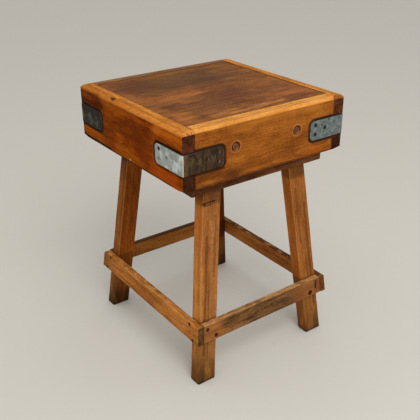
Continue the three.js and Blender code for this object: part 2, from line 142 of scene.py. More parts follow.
def pick(element: Element, test: Test) -> int:
    """Selects just the elements of the open piece that pass a test.

    Args:
        element: What to select.
        test: Says whether a vertex, edge or face is selected.

    Returns:
        How many were selected.
    """
    bpy.ops.mesh.select_mode(type=element.value)
    bpy.ops.mesh.select_all(action="DESELECT")
    mesh = open_mesh()
    every = {Element.VERTEX: mesh.verts, Element.EDGE: mesh.edges, Element.FACE: mesh.faces}[element]
    chosen = [item for item in every if test(item)]
    for item in chosen:
        item.select_set(True)
    mesh.select_flush_mode()
    bmesh.update_edit_mesh(bpy.context.active_object.data)
    return len(chosen)


def lies_at(edge: bmesh.types.BMEdge, axis: Axis, value: float) -> bool:
    """Whether both ends of an edge have a coordinate of this value."""
    return all(abs(vertex.co[axis.value] - value) < SAME_PLACE for vertex in edge.verts)


def runs_along(edge: bmesh.types.BMEdge, axis: Axis) -> bool:
    """Whether an edge runs along an axis."""
    way = edge.verts[1].co - edge.verts[0].co
    return abs(way[axis.value]) > 0.995 * way.length


def faces_towards(way: Sequence[float]) -> Test:
    """A test for faces whose normal points a way."""
    direction = Vector(way).normalized()
    return lambda face: face.normal.dot(direction) > 0.95


def settle(piece: Piece) -> Piece:
    """Puts a piece's place, turn and scale into its mesh, so that its object is at the origin."""
    select_only(piece)
    bpy.ops.object.transform_apply(location=True, rotation=True, scale=True)
    return piece


def cube(name: str, low: Sequence[float], high: Sequence[float]) -> Piece:
    """Adds an upright box between two corners.

    Args:
        name: The piece's name.
        low: The lowest corner.
        high: The highest corner.

    Returns:
        The new piece.
    """
    low, high = Vector(low), Vector(high)
    bpy.ops.mesh.primitive_cube_add(size=1, location=(low + high) / 2, scale=high - low)
    piece = bpy.context.active_object
    piece.name = name
    return settle(piece)


def turned(name: str, rings: Sequence[tuple[float, float]], sides: int) -> Piece:
    """Adds a closed round body on the Z axis by extruding a disc from ring to ring.

    Args:
        name: The piece's name.
        rings: The radius and height of each ring, from the first cap to the last.
        sides: How many sides the rings have.

    Returns:
        The new piece.
    """
    radius, height = rings[0]
    bpy.ops.mesh.primitive_circle_add(
        vertices=sides, radius=radius, fill_type="NGON", location=(0, 0, height)
    )
    piece = bpy.context.active_object
    piece.name = name
    settle(piece)
    with editing(piece):
        pick(Element.FACE, lambda face: True)
        for wider, higher in rings[1:]:
            move = {"value": (0, 0, higher - height)}
            bpy.ops.mesh.extrude_region_move(TRANSFORM_OT_translate=move)
            share = wider / radius
            bpy.ops.transform.resize(value=(share, share, 1), center_override=(0, 0, higher))
            radius, height = wider, higher
    return mend(piece)


def mend(piece: Piece, gap: float = 0.00001) -> Piece:
    """Merges a piece's points that are closer than a gap, and turns its faces outwards."""
    with editing(piece):
        bpy.ops.mesh.select_all(action="SELECT")
        bpy.ops.mesh.remove_doubles(threshold=gap)
        bpy.ops.mesh.normals_make_consistent(inside=False)
    return piece


def round_edges(piece: Piece, test: Test, width: float, segments: int, flatness: float = 0.5) -> None:
    """Bevels the edges of a piece that pass a test.

    Args:
        piece: The piece.
        test: Says whether an edge is bevelled.
        width: How far the bevel reaches from the edge.
        segments: How many strips it has.
        flatness: 0.5 for a round edge, and 0.25 for a flat chamfer.
    """
    with editing(piece):
        pick(Element.EDGE, test)
        bpy.ops.mesh.bevel(
            offset=width, segments=segments, profile=flatness, affect="EDGES", clamp_overlap=False
        )


def slice_along(piece: Piece, axis: Axis, spacing: float) -> None:
    """Cuts the edges that run along an axis, for the length of the piece, into even steps.

    Args:
        piece: The piece.
        axis: The axis.
        spacing: About how long each step is.
    """
    longest = piece.dimensions[axis.value]
    with editing(piece):
        pick(Element.EDGE, lambda e: runs_along(e, axis) and e.calc_length() > 0.5 * longest)
        bpy.ops.mesh.subdivide(number_cuts=max(1, round(longest / spacing) - 1))


def apply_modifier(piece: Piece, kind: str, **settings: Any) -> None:
    """Adds a modifier to a piece and applies it.

    Args:
        piece: The piece.
        kind: The modifier's type.
        **settings: The modifier's settings.
    """
    select_only(piece)
    modifier = piece.modifiers.new(kind.lower(), kind)
    for key, value in settings.items():
        setattr(modifier, key, value)
    bpy.ops.object.modifier_apply(modifier=modifier.name)


def cut(piece: Piece, *cutters: Piece) -> None:
    """Cuts bodies out of a piece, and removes them."""
    for cutter in cutters:
        apply_modifier(piece, "BOOLEAN", operation="DIFFERENCE", solver="EXACT", object=cutter)
        bpy.data.objects.remove(cutter)


def duplicate(piece: Piece, name: str, change: Matrix = Matrix.Identity(4)) -> Piece:
    """Copies a piece, with its own mesh, to another place.

    Args:
        piece: The piece to copy.
        name: The copy's name.
        change: Where the copy goes. A mirroring change turns the faces round again.

    Returns:
        The copy.
    """
    copy = bpy.data.objects.new(name, piece.data.copy())
    bpy.context.scene.collection.objects.link(copy)
    copy.data.transform(change)
    if change.determinant() < 0:
        copy.data.flip_normals()
    return copy


def pointing(point: Sequence[float], direction: Sequence[float], spin: float = 0) -> Matrix:
    """The change that puts a body made on the Z axis at a point, with its +Z along a direction.

    Args:
        point: Where its origin goes.
        direction: Where its +Z goes.
        spin: How far it is turned about its own axis.

    Returns:
        The change.
    """
    turn = Vector(direction).to_track_quat("Z", "Y").to_matrix().to_4x4()
    return Matrix.Translation(Vector(point)) @ turn @ Matrix.Rotation(spin, 4, "Z")


def move_points(piece: Piece, rule: Callable[[Vector], Vector]) -> None:
    """Moves each point of a piece by a rule that gets its place and gives the new one."""
    for vertex in piece.data.vertices:
        vertex.co = rule(vertex.co.copy())
    piece.data.update()


def wear_down(piece: Piece, depth: float, size: float) -> None:
    """Wears a piece's surface away unevenly.

    Args:
        piece: The piece.
        depth: The most that is worn away.
        size: The size of the hollows.
    """
    clouds = bpy.data.textures.new(piece.name + "_wear", "CLOUDS")
    clouds.noise_scale = size
    clouds.noise_depth = 3
    apply_modifier(piece, "DISPLACE", texture=clouds, texture_coords="LOCAL", mid_level=1.0, strength=depth)
    bpy.data.textures.remove(clouds)


def smooth(piece: Piece) -> Piece:
    """Shades a piece smooth across its gentle edges."""
    select_only(piece)
    bpy.ops.object.shade_smooth_by_angle(angle=SMOOTH_ANGLE)
    return piece


class Wire:
    """A value, vector or colour that flows through a shader. Sums of wires add Math nodes."""

    def __init__(self, net: "Net", socket: bpy.types.NodeSocket) -> None:
        """Wraps a node's output."""
        self.net = net
        self.socket = socket

    def __add__(self, other: "Value") -> "Wire":
        """The sum."""
        return self.net.maths("ADD", self, other)

    __radd__ = __add__

    def __sub__(self, other: "Value") -> "Wire":
        """The difference."""
        return self.net.maths("SUBTRACT", self, other)

    def __rsub__(self, other: "Value") -> "Wire":
        """The difference, the other way round."""
        return self.net.maths("SUBTRACT", other, self)

    def __mul__(self, other: "Value") -> "Wire":
        """The product."""
        return self.net.maths("MULTIPLY", self, other)

    __rmul__ = __mul__

    def __pow__(self, other: "Value") -> "Wire":
        """The power."""
        return self.net.maths("POWER", self, other)


Value = Union[Wire, float, Sequence[float]]


class Net:
    """The nodes of one material."""

    MIX_SOCKETS = {"factor": 0, "first": 6, "second": 7}
    MIX_RESULT = 2

    def __init__(self, tree: bpy.types.NodeTree) -> None:
        """Empties a node tree."""
        self.tree = tree
        self.tree.nodes.clear()

    def node(
        self, kind: str, settings: dict[str, Any], inputs: dict[Union[str, int], Value], output: Union[str, int] = 0
    ) -> Wire:
        """Adds a node.

        Args:
            kind: The node's type.
            settings: Its settings, which are set first. "stops" are a colour ramp's.
            inputs: The value or wire of each of its sockets.
            output: Which of its outputs is given back.

        Returns:
            The output.
        """
        node = self.tree.nodes.new(kind)
        for key, value in settings.items():
            if key == "stops":
                self._set_stops(node.color_ramp, value)
            else:
                setattr(node, key, value)
        for key, value in inputs.items():
            socket = node.inputs[key]
            if isinstance(value, Wire):
                self.tree.links.new(value.socket, socket)
            elif socket.type == "RGBA":
                socket.default_value = (*value, 1)
            else:
                socket.default_value = value
        return Wire(self, node.outputs[output]) if node.outputs else None

    @staticmethod
    def _set_stops(ramp: bpy.types.ColorRamp, stops: Sequence[tuple[float, Colour]]) -> None:
        """Gives a ramp its stops."""
        while len(ramp.elements) < len(stops):
            ramp.elements.new(1)
        for element, (place, colour) in zip(ramp.elements, stops):
            element.position = place
            element.color = (*colour, 1)

    def maths(self, operation: str, first: Value, second: Value = 0.0) -> Wire:
        """Adds a Math node."""
        return self.node("ShaderNodeMath", {"operation": operation}, {0: first, 1: second})

    def vectors(self, operation: str, first: Value, second: Value = (0, 0, 0)) -> Wire:
        """Adds a Vector Math node that gives a vector."""
        return self.node("ShaderNodeVectorMath", {"operation": operation}, {0: first, 1: second})

    def dot(self, first: Value, second: Value) -> Wire:
        """The dot product of two vectors."""
        return self.node("ShaderNodeVectorMath", {"operation": "DOT_PRODUCT"}, {0: first, 1: second}, 1)

    def length(self, vector: Value) -> Wire:
        """The length of a vector."""
        return self.node("ShaderNodeVectorMath", {"operation": "LENGTH"}, {0: vector}, 1)

    def step(self, value: Wire, start: float, end: float) -> Wire:
        """Rises smoothly from 0 where the value is start to 1 where it is end, which may be the lower one."""
        return self.node(
            "ShaderNodeMapRange", {"interpolation_type": "SMOOTHSTEP"}, {0: value, 1: start, 2: end}
        )

    def mix(self, factor: Value, first: Value, second: Value, blend: str = "MIX") -> Wire:
        """Mixes two colours."""
        sockets = self.MIX_SOCKETS
        inputs = {sockets["factor"]: factor, sockets["first"]: first, sockets["second"]: second}
        settings = {"data_type": "RGBA", "blend_type": blend}
        return self.node("ShaderNodeMix", settings, inputs, self.MIX_RESULT)

    def place(self) -> Wire:
        """The point of the surface, in the frame."""
        return self.node("ShaderNodeTexCoord", {}, {}, 3)

    def normal(self) -> Wire:
        """The way that the surface faces."""
        return self.node("ShaderNodeNewGeometry", {}, {}, 1)

    def clouds(self, vector: Value, scale: float, detail: float = 2.0, rough: float = 0.5) -> Wire:
        """Soft noise about 0.5."""
        inputs = {"Vector": vector, "Scale": scale, "Detail": detail, "Roughness": rough}
        return self.node("ShaderNodeTexNoise", {}, inputs)

    def stretched(self, vector: Value, scales: Sequence[float]) -> Wire:
        """A vector scaled along each axis."""
        return self.vectors("MULTIPLY", vector, scales)


class Region(ABC):
    """A part of the surface. Regions are joined with |, crossed with & and turned over with ~."""

    @abstractmethod
    def mask(self, net: Net) -> Wire:
        """1 inside the region and 0 outside it."""

    def __and__(self, other: "Region") -> "Region":
        """Where both are."""
        return Crossed(self, other)

    def __or__(self, other: "Region") -> "Region":
        """Where either is."""
        return Joined(self, other)

    def __invert__(self) -> "Region":
        """Where it isn't."""
        return Outside(self)


@dataclass(frozen=True)
class Crossed(Region):
    """Where two regions meet."""

    first: Region
    second: Region

    def mask(self, net: Net) -> Wire:
        """The product of the two masks."""
        return self.first.mask(net) * self.second.mask(net)


@dataclass(frozen=True)
class Joined(Region):
    """Two regions as one."""

    first: Region
    second: Region

    def mask(self, net: Net) -> Wire:
        """The higher of the two masks."""
        return net.maths("MAXIMUM", self.first.mask(net), self.second.mask(net))


@dataclass(frozen=True)
class Outside(Region):
    """Everything but a region."""

    inner: Region

    def mask(self, net: Net) -> Wire:
        """The mask turned over."""
        return 1 - self.inner.mask(net)


@dataclass(frozen=True)
class Facing(Region):
    """Where the surface faces a way."""

    way: tuple[float, float, float]
    start: float = 0.35
    full: float = 0.85

    def mask(self, net: Net) -> Wire:
        """Rises with the cosine between the surface's normal and the way."""
        return net.step(net.dot(net.normal(), self.way), self.start, self.full)


@dataclass(frozen=True)
class Arrises(Region):
    """The rounded edges between flat sides, which face none of the three axes."""

    start: float = 0.985
    full: float = 0.8

    def mask(self, net: Net) -> Wire:
        """Rises as the normal's largest share falls."""
        normal = net.vectors("ABSOLUTE", net.normal())
        shares = [net.dot(normal, axis.vector) for axis in Axis]
        largest = net.maths("MAXIMUM", net.maths("MAXIMUM", shares[0], shares[1]), shares[2])
        return net.step(largest, self.start, self.full)


@dataclass(frozen=True)
class Beyond(Region):
    """Where a coordinate has passed from one value to another."""

    axis: Axis
    start: float
    full: float

    def mask(self, net: Net) -> Wire:
        """Rises from start to full."""
        return net.step(net.dot(net.place(), self.axis.vector), self.start, self.full)


@dataclass(frozen=True)
class Around(Region):
    """Near a box, up to a soft and ragged edge. The box can lean, and then moves along as it rises."""

    middle: tuple[float, float, float]
    half: tuple[float, float, float] = (0.0, 0.0, 0.0)
    reach: float = 0.003
    soft: float = 0.002
    ragged: float = 0.0
    grain: float = 60.0
    stretch: tuple[float, float, float] = (1.0, 1.0, 1.0)
    lean: tuple[float, float, float] = (0.0, 0.0, 0.0)

    def mask(self, net: Net) -> Wire:
        """Falls from 1 to 0 over the soft edge, which ends at the reach."""
        offset = net.vectors("SUBTRACT", net.place(), self.middle)
        if any(self.lean):
            inputs = {0: self.lean, "Scale": net.dot(offset, UP)}
            shift = net.node("ShaderNodeVectorMath", {"operation": "SCALE"}, inputs)
            offset = net.vectors("SUBTRACT", offset, shift)
        beyond = net.vectors("SUBTRACT", net.vectors("ABSOLUTE", offset), self.half)
        distance = net.length(net.vectors("MAXIMUM", beyond))
        if self.ragged:
            wander = net.clouds(net.stretched(net.place(), self.stretch), self.grain, 4.0, 0.6) - 0.5
            distance = distance + wander * (4 * self.ragged)
        return net.step(distance, self.reach, self.reach - self.soft)


@dataclass(frozen=True)
class Patches(Region):
    """Cloudy patches, which can be drawn out along an axis."""

    scale: float
    start: float
    full: float
    stretch: tuple[float, float, float] = (1.0, 1.0, 1.0)
    shift: float = 0.0
    detail: float = 4.0

    def mask(self, net: Net) -> Wire:
        """Rises where the clouds are thick."""
        point = net.vectors("ADD", net.place(), (self.shift, self.shift, self.shift))
        clouds = net.clouds(net.stretched(point, self.stretch), self.scale, self.detail, 0.6)
        return net.step(clouds, self.start, self.full)


class Blend(Enum):
    """How a layer lies on the colour under it."""

    COVER = "MIX"
    STAIN = "MULTIPLY"
    GLOW = "SCREEN"


@dataclass(frozen=True)
class Layer:
    """A stain, a bare patch, dirt, or painted shade or highlight on a surface."""

    region: Region
    colour: Colour
    strength: float = 1.0
    blend: Blend = Blend.COVER
    rougher: float = 0.0


@dataclass(frozen=True)
class Tone:
    """The dark, middle and light colour of a wood's figure."""

    dark: Colour
    middle: Colour
    light: Colour


@dataclass(frozen=True)
class Grain:
    """How a piece was sawn: the way its grain runs, and where the log's heart was."""

    along: tuple[float, float, float] = (1.0, 0.0, 0.0)
    heart: tuple[float, float, float] = (0.0, 0.0, 0.0)
    seed: float = 0.0


@dataclass(frozen=True)
class Timber:
    """An oiled and worn wood, with growth rings, fibres, pores, and layers of stains, rubbed patches and painted light
    and shade.
    """

    name: str
    tone: Tone
    other_tones: tuple[tuple[Region, Tone], ...] = ()
    layers: tuple[Layer, ...] = ()
    ring_spacing: float = 0.005
    ring_strength: float = 0.2
    fibre_strength: float = 0.5
    streak_strength: float = 0.42
    mottle_strength: float = 0.3
    cloud_strength: float = 0.4
    speckle_strength: float = 0.42
    pore_strength: float = 0.25
    roughness: float = 0.5
    gloss: float = 0.04
    relief: float = 0.00035

    RING_RULE = math.tau / 20

    def dress(self, piece: Piece, slot: str, grain: Grain) -> None:
        """Gives a piece this wood.

        Args:
            piece: The piece.
            slot: Not used.
            grain: How it was sawn.
        """
        material = bpy.data.materials.new(self.name + "_of_" + piece.name)
        material.use_nodes = True
        net = Net(material.node_tree)
        sawn = self._sawn(net, grain)
        rings = self._rings(net, sawn)
        fibres = net.clouds(net.stretched(sawn, (9, 420, 420)), 1.0, 3.0, 0.6)
        streaks = net.clouds(net.stretched(sawn, (2.2, 55, 55)), 1.0, 3.0, 0.6)
        clouds = net.clouds(net.stretched(sawn, (5, 11, 11)), 1.0, 3.0, 0.55)
        pores = net.step(net.clouds(net.stretched(sawn, (45, 1300, 1300)), 1.0, 1.0), 0.6, 0.72)
        figure = 0.5 + (rings - 0.5) * self.ring_strength + (fibres - 0.5) * self.fibre_strength
        mottle = net.clouds(net.stretched(sawn, (16, 42, 42)), 1.0, 3.0, 0.6)
        figure = figure + (streaks - 0.5) * (2 * self.streak_strength)
        figure = figure + (mottle - 0.5) * (2 * self.mottle_strength)
        speckle = net.clouds(net.stretched(sawn, (150, 260, 260)), 1.0, 2.0, 0.6)
        figure = figure + (speckle - 0.5) * (2 * self.speckle_strength)
        figure = figure + (clouds - 0.5) * (2 * self.cloud_strength) - pores * self.pore_strength
        colour = self._coloured(net, figure)
        rough = self.roughness + (clouds - 0.5) * 0.15 + pores * 0.1
        for layer in self.layers:
            mask = layer.region.mask(net) * layer.strength
            colour = net.mix(mask, colour, layer.colour, layer.blend.value)
            if layer.rougher:
                rough = rough + mask * layer.rougher
        height = rings * 0.35 + fibres * 0.5 + streaks * 0.5 - pores * 0.6
        bump = net.node("ShaderNodeBump", {}, {"Strength": 0.9, "Distance": self.relief, "Height": height})
        surface = net.node(
            "ShaderNodeBsdfPrincipled",
            {},
            {"Base Color": colour, "Roughness": rough, "Normal": bump, "Specular IOR Level": self.gloss},
        )
        net.node("ShaderNodeOutputMaterial", {}, {"Surface": surface})
        wear_finish(piece, material)

    def _sawn(self, net: Net, grain: Grain) -> Wire:
        """The surface's place with X along the grain and the log's heart at Y = Z = 0."""
        turn = Vector(grain.along).to_track_quat("X", "Z").to_euler()
        inputs = {"Vector": net.place(), "Location": grain.heart, "Rotation": turn}
        sawn = net.node("ShaderNodeMapping", {"vector_type": "TEXTURE"}, inputs)
        return net.vectors("ADD", sawn, (grain.seed, 0, 0))

    def _rings(self, net: Net, sawn: Wire) -> Wire:
        """Growth rings round the heart, drawn out and wavering along the grain."""
        wander = net.node(
            "ShaderNodeTexNoise",
            {},
            {"Vector": net.stretched(sawn, (3, 14, 14)), "Scale": 1.0, "Detail": 2.0},
            1,
        )
        wander = net.vectors("SUBTRACT", wander, (0.5, 0.5, 0.5))
        bent = net.vectors("ADD", sawn, net.stretched(wander, (0, 0.03, 0.03)))
        settings = {"wave_type": "RINGS", "rings_direction": "X", "wave_profile": "SAW"}
        inputs = {
            "Vector": net.stretched(bent, (0.12, 1, 1)),
            "Scale": self.RING_RULE / self.ring_spacing,
            "Distortion": 1.2,
            "Detail": 2.0,
            "Detail Scale": 1.5,
        }
        return net.node("ShaderNodeTexWave", settings, inputs, 1)

    def _coloured(self, net: Net, figure: Wire) -> Wire:
        """The figure in the wood's colours, with other colours in other regions."""
        colour = self._ramp(net, figure, self.tone)
        for region, tone in self.other_tones:
            colour = net.mix(region.mask(net), colour, self._ramp(net, figure, tone))
        return colour

    @staticmethod
    def _ramp(net: Net, figure: Wire, tone: Tone) -> Wire:
        """The figure in the colours of one tone."""
        stops = [(0.1, tone.dark), (0.5, tone.middle), (0.9, tone.light)]
        return net.node("ShaderNodeValToRGB", {"stops": stops}, {"Fac": figure})


@dataclass(frozen=True)
class Steel:
    """Old steel: bright or dark metal under patches of zinc bloom, dirt and rust, and painted shade."""

    name: str
    metal: Colour
    bloom: Colour
    layers: tuple[Layer, ...] = ()
    roughness: float = 0.5
    metallic: float = 0.7
    gloss: float = 0.2
    spangle: float = 90.0
    relief: float = 0.0003

    def dress(self, piece: Piece, slot: str) -> None:
        """Gives a piece this steel.

        Args:
            piece: The piece.
            slot: Not used.
        """
        material = bpy.data.materials.new(self.name + "_of_" + piece.name)
        material.use_nodes = True
        net = Net(material.node_tree)
        place = net.place()
        crystals = net.node("ShaderNodeTexVoronoi", {}, {"Vector": place, "Scale": self.spangle}, 1)
        crystals = net.dot(crystals, (0.33, 0.33, 0.33))
        clouds = net.clouds(place, 38.0, 5.0, 0.65)
        scuffs = net.clouds(net.stretched(place, (30, 30, 900)), 1.0, 3.0)
        shade = (crystals - 0.5) * 0.25 + (clouds - 0.5) * 0.9 + (scuffs - 0.5) * 0.3 + 0.5
        colour = net.mix(shade, self.metal, self.bloom)
        rough = self.roughness + (clouds - 0.5) * 0.3
        shine: Value = self.metallic
        for layer in self.layers:
            mask = layer.region.mask(net) * layer.strength
            colour = net.mix(mask, colour, layer.colour, layer.blend.value)
            rough = rough + mask * layer.rougher
            shine = (1 - mask * 0.85) * shine
        height = clouds * 0.7 + scuffs * 0.3
        bump = net.node("ShaderNodeBump", {}, {"Strength": 0.8, "Distance": self.relief, "Height": height})
        surface = net.node(
            "ShaderNodeBsdfPrincipled",
            {},
            {
                "Base Color": colour,
                "Roughness": rough,
                "Metallic": shine,
                "Normal": bump,
                "Specular IOR Level": self.gloss,
            },
        )
        net.node("ShaderNodeOutputMaterial", {}, {"Surface": surface})
        wear_finish(piece, material)


def wear_finish(piece: Piece, material: bpy.types.Material) -> None:
    """Gives a piece one material all over."""
    piece.data.materials.clear()
    piece.data.materials.append(material)


def stand_for(piece: Piece, *nodes: str) -> None:
    """Has a new piece ride on the table in place of some nodes."""
    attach(piece, ROOT)
    if nodes:
        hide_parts(*nodes)
    log.info("%s: %d faces, in place of %s", piece.name, len(piece.data.polygons), ", ".join(nodes) or "none")


UP = (0.0, 0.0, 1.0)
DOWN = (0.0, 0.0, -1.0)
FRONT = (0.0, -1.0, 0.0)
BACK = (0.0, 1.0, 0.0)
LEFT = (-1.0, 0.0, 0.0)
RIGHT = (1.0, 0.0, 0.0)

STRIP_GOLD = Tone(screen(168, 98, 34), screen(214, 147, 66), screen(238, 178, 96))
SIDE_GOLD = Tone(screen(120, 62, 18), screen(184, 112, 40), screen(222, 152, 72))
HONEY = Tone(screen(96, 46, 10), screen(142, 79, 22), screen(176, 108, 40))
RUSSET = Tone(screen(82, 28, 0), screen(134, 60, 2), screen(172, 90, 14))
END_GRAIN = Tone(screen(34, 16, 10), screen(68, 34, 20), screen(104, 62, 40))
STAINED_BROWN = Tone(screen(70, 36, 12), screen(116, 66, 26), screen(156, 98, 44))
BACK_STRIP = Tone(screen(78, 46, 22), screen(130, 88, 50), screen(164, 116, 70))
# Dark brown for dirt, and for painted shade under and beside parts and along rounded base edges.
DARK_DIRT_AND_SHADE = screen(30, 16, 8)
GREY_DIRT = screen(62, 50, 32)
# Dark iron stain round the straps, also painted as shade round their housings.
IRON_STAIN_AND_SHADE = screen(26, 14, 8)


@dataclass
class Block:
    """The block of staves, and its frame of four boards."""

    chamfer: float = 0.012
    base_chamfer: float = 0.004
    corner_radius: float = 0.0045
    side_base_edge: float = 0.0034
    envelope_gap: float = 0.00005
    foot_wear: float = 0.0055
    foot_reach: float = 0.034
    inner_edge: float = 0.0012
    stave_edge: float = 0.0003
    stave_count: int = 9
    cell: float = 0.009
    board_wear: float = 0.0007
    hollow: float = 0.0016
    counterbore_radius: float = 0.015
    counterbore_depth: float = 0.014
    bore_radius: float = 0.0055
    bore_sides: int = 40
    strap_radius: float = 0.016
    stain_and_shade_reach: float = 0.0095
    chip_place: tuple[float, float] = (-0.2945, 0.092)
    chip_size: tuple[float, float, float] = (0.0048, 0.015, 0.0035)
    chip_turn: float = math.radians(-24)
    pieces: dict[str, Piece] = field(default_factory=dict)
    bolt_points: dict[str, list[Vector]] = field(default_factory=dict)

    def __post_init__(self) -> None:
        """Reads the block's size from the frame."""
        low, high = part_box("side_board_left")
        self.half_width = -low.x
        self.top = high.z
        self.half_depth = high.y
        self.base_height = low.z

    def build(self) -> None:
        """Makes the boards and the staves."""
        for side, sign in SIDES.items():
            self._add_side_board(side, sign)
        for end, sign in ENDS.items():
            self._add_end_board(end, sign)
        for number in range(1, self.stave_count + 1):
            self._add_stave(number)

    def _add_side_board(self, side: str, sign: int) -> None:
        """Makes one side board, whose ends show at the front and the back."""
        node = "side_board_" + side
        low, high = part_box(node)
        outer, inner = (high.x, low.x) if sign > 0 else (low.x, high.x)
        board = cube(side + "_side_board", low, high)
        self._round_rim(board, low, high, lambda e: lies_at(e, Axis.X, inner), self.side_base_edge)
        round_edges(
            board, lambda e: lies_at(e, Axis.X, inner) and lies_at(e, Axis.Z, high.z), self.inner_edge, 3
        )
        self._slice(board)
        self._round_corners(board, low, high, outer, sign)
        wear_down(board, self.board_wear, 0.05)

        def worn_foot(point: Vector) -> Vector:
            """Lifts the points that are near the lowest corners."""
            distance = math.hypot(outer - point.x, high.y - abs(point.y))
            share = max(0.0, 1 - distance / self.foot_reach) * max(0.0, 1 - (point.z - low.z) / self.foot_reach)
            point.z += self.foot_wear * share**1.5
            return point

        move_points(board, worn_foot)
        if side == "left":
            self._chip(board)
        self.pieces[node] = board

    def _round_corners(self, board: Piece, low: Vector, high: Vector, outer: float, sign: int) -> None:
        """Rounds a side board's upright corners, right through its rims."""
        beyond = Vector((OVERRUN, self.envelope_gap, OVERRUN))
        corners = [low - beyond, high + beyond]
        skin = outer + sign * self.envelope_gap
        corners[sign > 0].x = skin
        envelope = cube("envelope", *corners)
        round_edges(
            envelope, lambda e: runs_along(e, Axis.Z) and lies_at(e, Axis.X, skin), self.corner_radius, 5
        )
        apply_modifier(board, "BOOLEAN", operation="INTERSECT", solver="EXACT", object=envelope)
        bpy.data.objects.remove(envelope)

    def _chip(self, board: Piece) -> None:
        """Knocks a small ragged chip out of the left board's top."""
        bpy.ops.mesh.primitive_ico_sphere_add(subdivisions=3, radius=1)
        chip = settle(bpy.context.active_object)
        move_points(chip, lambda point: point * (1 + 0.5 * noise.noise(point * 2.3)))
        turn = Matrix.Rotation(self.chip_turn, 4, "Z")
        chip.data.transform(Matrix.Translation((*self.chip_place, self.top)) @ turn @ Matrix.Diagonal((*self.chip_size, 1)))
        cut(board, chip)

    def _add_end_board(self, end: str, sign: int) -> None:
        """Makes the front or the back board, which fits between the side boards."""
        node = "end_board_" + end
        low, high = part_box(node)
        outer, inner = (high.y, low.y) if sign > 0 else (low.y, high.y)
        board = cube(end + "_end_board", low, high)
        self._round_rim(board, low, high, lambda e: not lies_at(e, Axis.Y, outer), self.base_chamfer)
        round_edges(
            board, lambda e: lies_at(e, Axis.Y, inner) and lies_at(e, Axis.Z, high.z), self.inner_edge, 3
        )
        self._slice(board)
        wear_down(board, self.board_wear, 0.05)
        self.pieces[node] = board

    def _round_rim(self, board: Piece, low: Vector, high: Vector, spared: Test, base: float) -> None:
        """Chamfers a board's top and base edges, but not those that lie against the core or another board."""
        round_edges(
            board, lambda e: lies_at(e, Axis.Z, high.z) and not spared(e), self.chamfer, 5, flatness=0.33
        )
        round_edges(
            board, lambda e: lies_at(e, Axis.Z, low.z) and not spared(e), base, 4, flatness=0.45
        )

    def _slice(self, board: Piece) -> None:
        """Cuts a board's faces into cells."""
        for axis in Axis:
            slice_along(board, axis, self.cell)

    def _add_stave(self, number: int) -> None:
        """Makes one stave of the core, with its top worn hollow."""
        node = f"stave_{number}"
        low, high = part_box(node)
        stave = cube(f"core_stave_{number}", low, high)
        round_edges(stave, lambda e: lies_at(e, Axis.Z, high.z), self.stave_edge, 2)
        slice_along(stave, Axis.X, 0.012)
        slice_along(stave, Axis.Y, 0.01)
        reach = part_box("end_board_back")[0].y

        def worn(point: Vector) -> Vector:
            """Lowers a point of the top."""
            if point.z > high.z - 0.01:
                share = (1 - (point.x / high.x) ** 2) * (1 - (point.y / reach) ** 2)
                uneven = 0.75 + 0.5 * noise.noise(point * 9)
                point.z -= self.hollow * max(0.0, share) ** 0.6 * uneven
                point.z -= 0.0004 * abs(noise.noise(Vector((point.x * 8, point.y * 60, number))))
            return point

        move_points(stave, worn)
        self.pieces[node] = stave

    def drill(self, bolts: "TieBolts") -> None:
        """Cuts the tie bolts' counterbores and holes into the end boards."""
        for end, sign in ENDS.items():
            self.bolt_points["end_board_" + end] = bolts.places(sign * self.half_depth)
            for point in self.bolt_points["end_board_" + end]:
                rings = [
                    (self.bore_radius, -0.05),
                    (self.bore_radius, -self.counterbore_depth),
                    (self.counterbore_radius, -self.counterbore_depth),
                    (self.counterbore_radius, -0.001),
                    (self.counterbore_radius + 0.002, 0.001),
                    (self.counterbore_radius + 0.002, OVERRUN),
                ]
                hole = turned("counterbore", rings, self.bore_sides)
                hole.data.transform(pointing(point, (0, sign, 0)))
                cut(self.pieces["end_board_" + end], hole)

    def dress(self) -> None:
        """Finishes the boards and the staves."""
        self._dress_side_boards()
        self._dress_end_boards()
        self._dress_staves()
        for node, piece in self.pieces.items():
            smooth(piece)
            stand_for(piece, node)

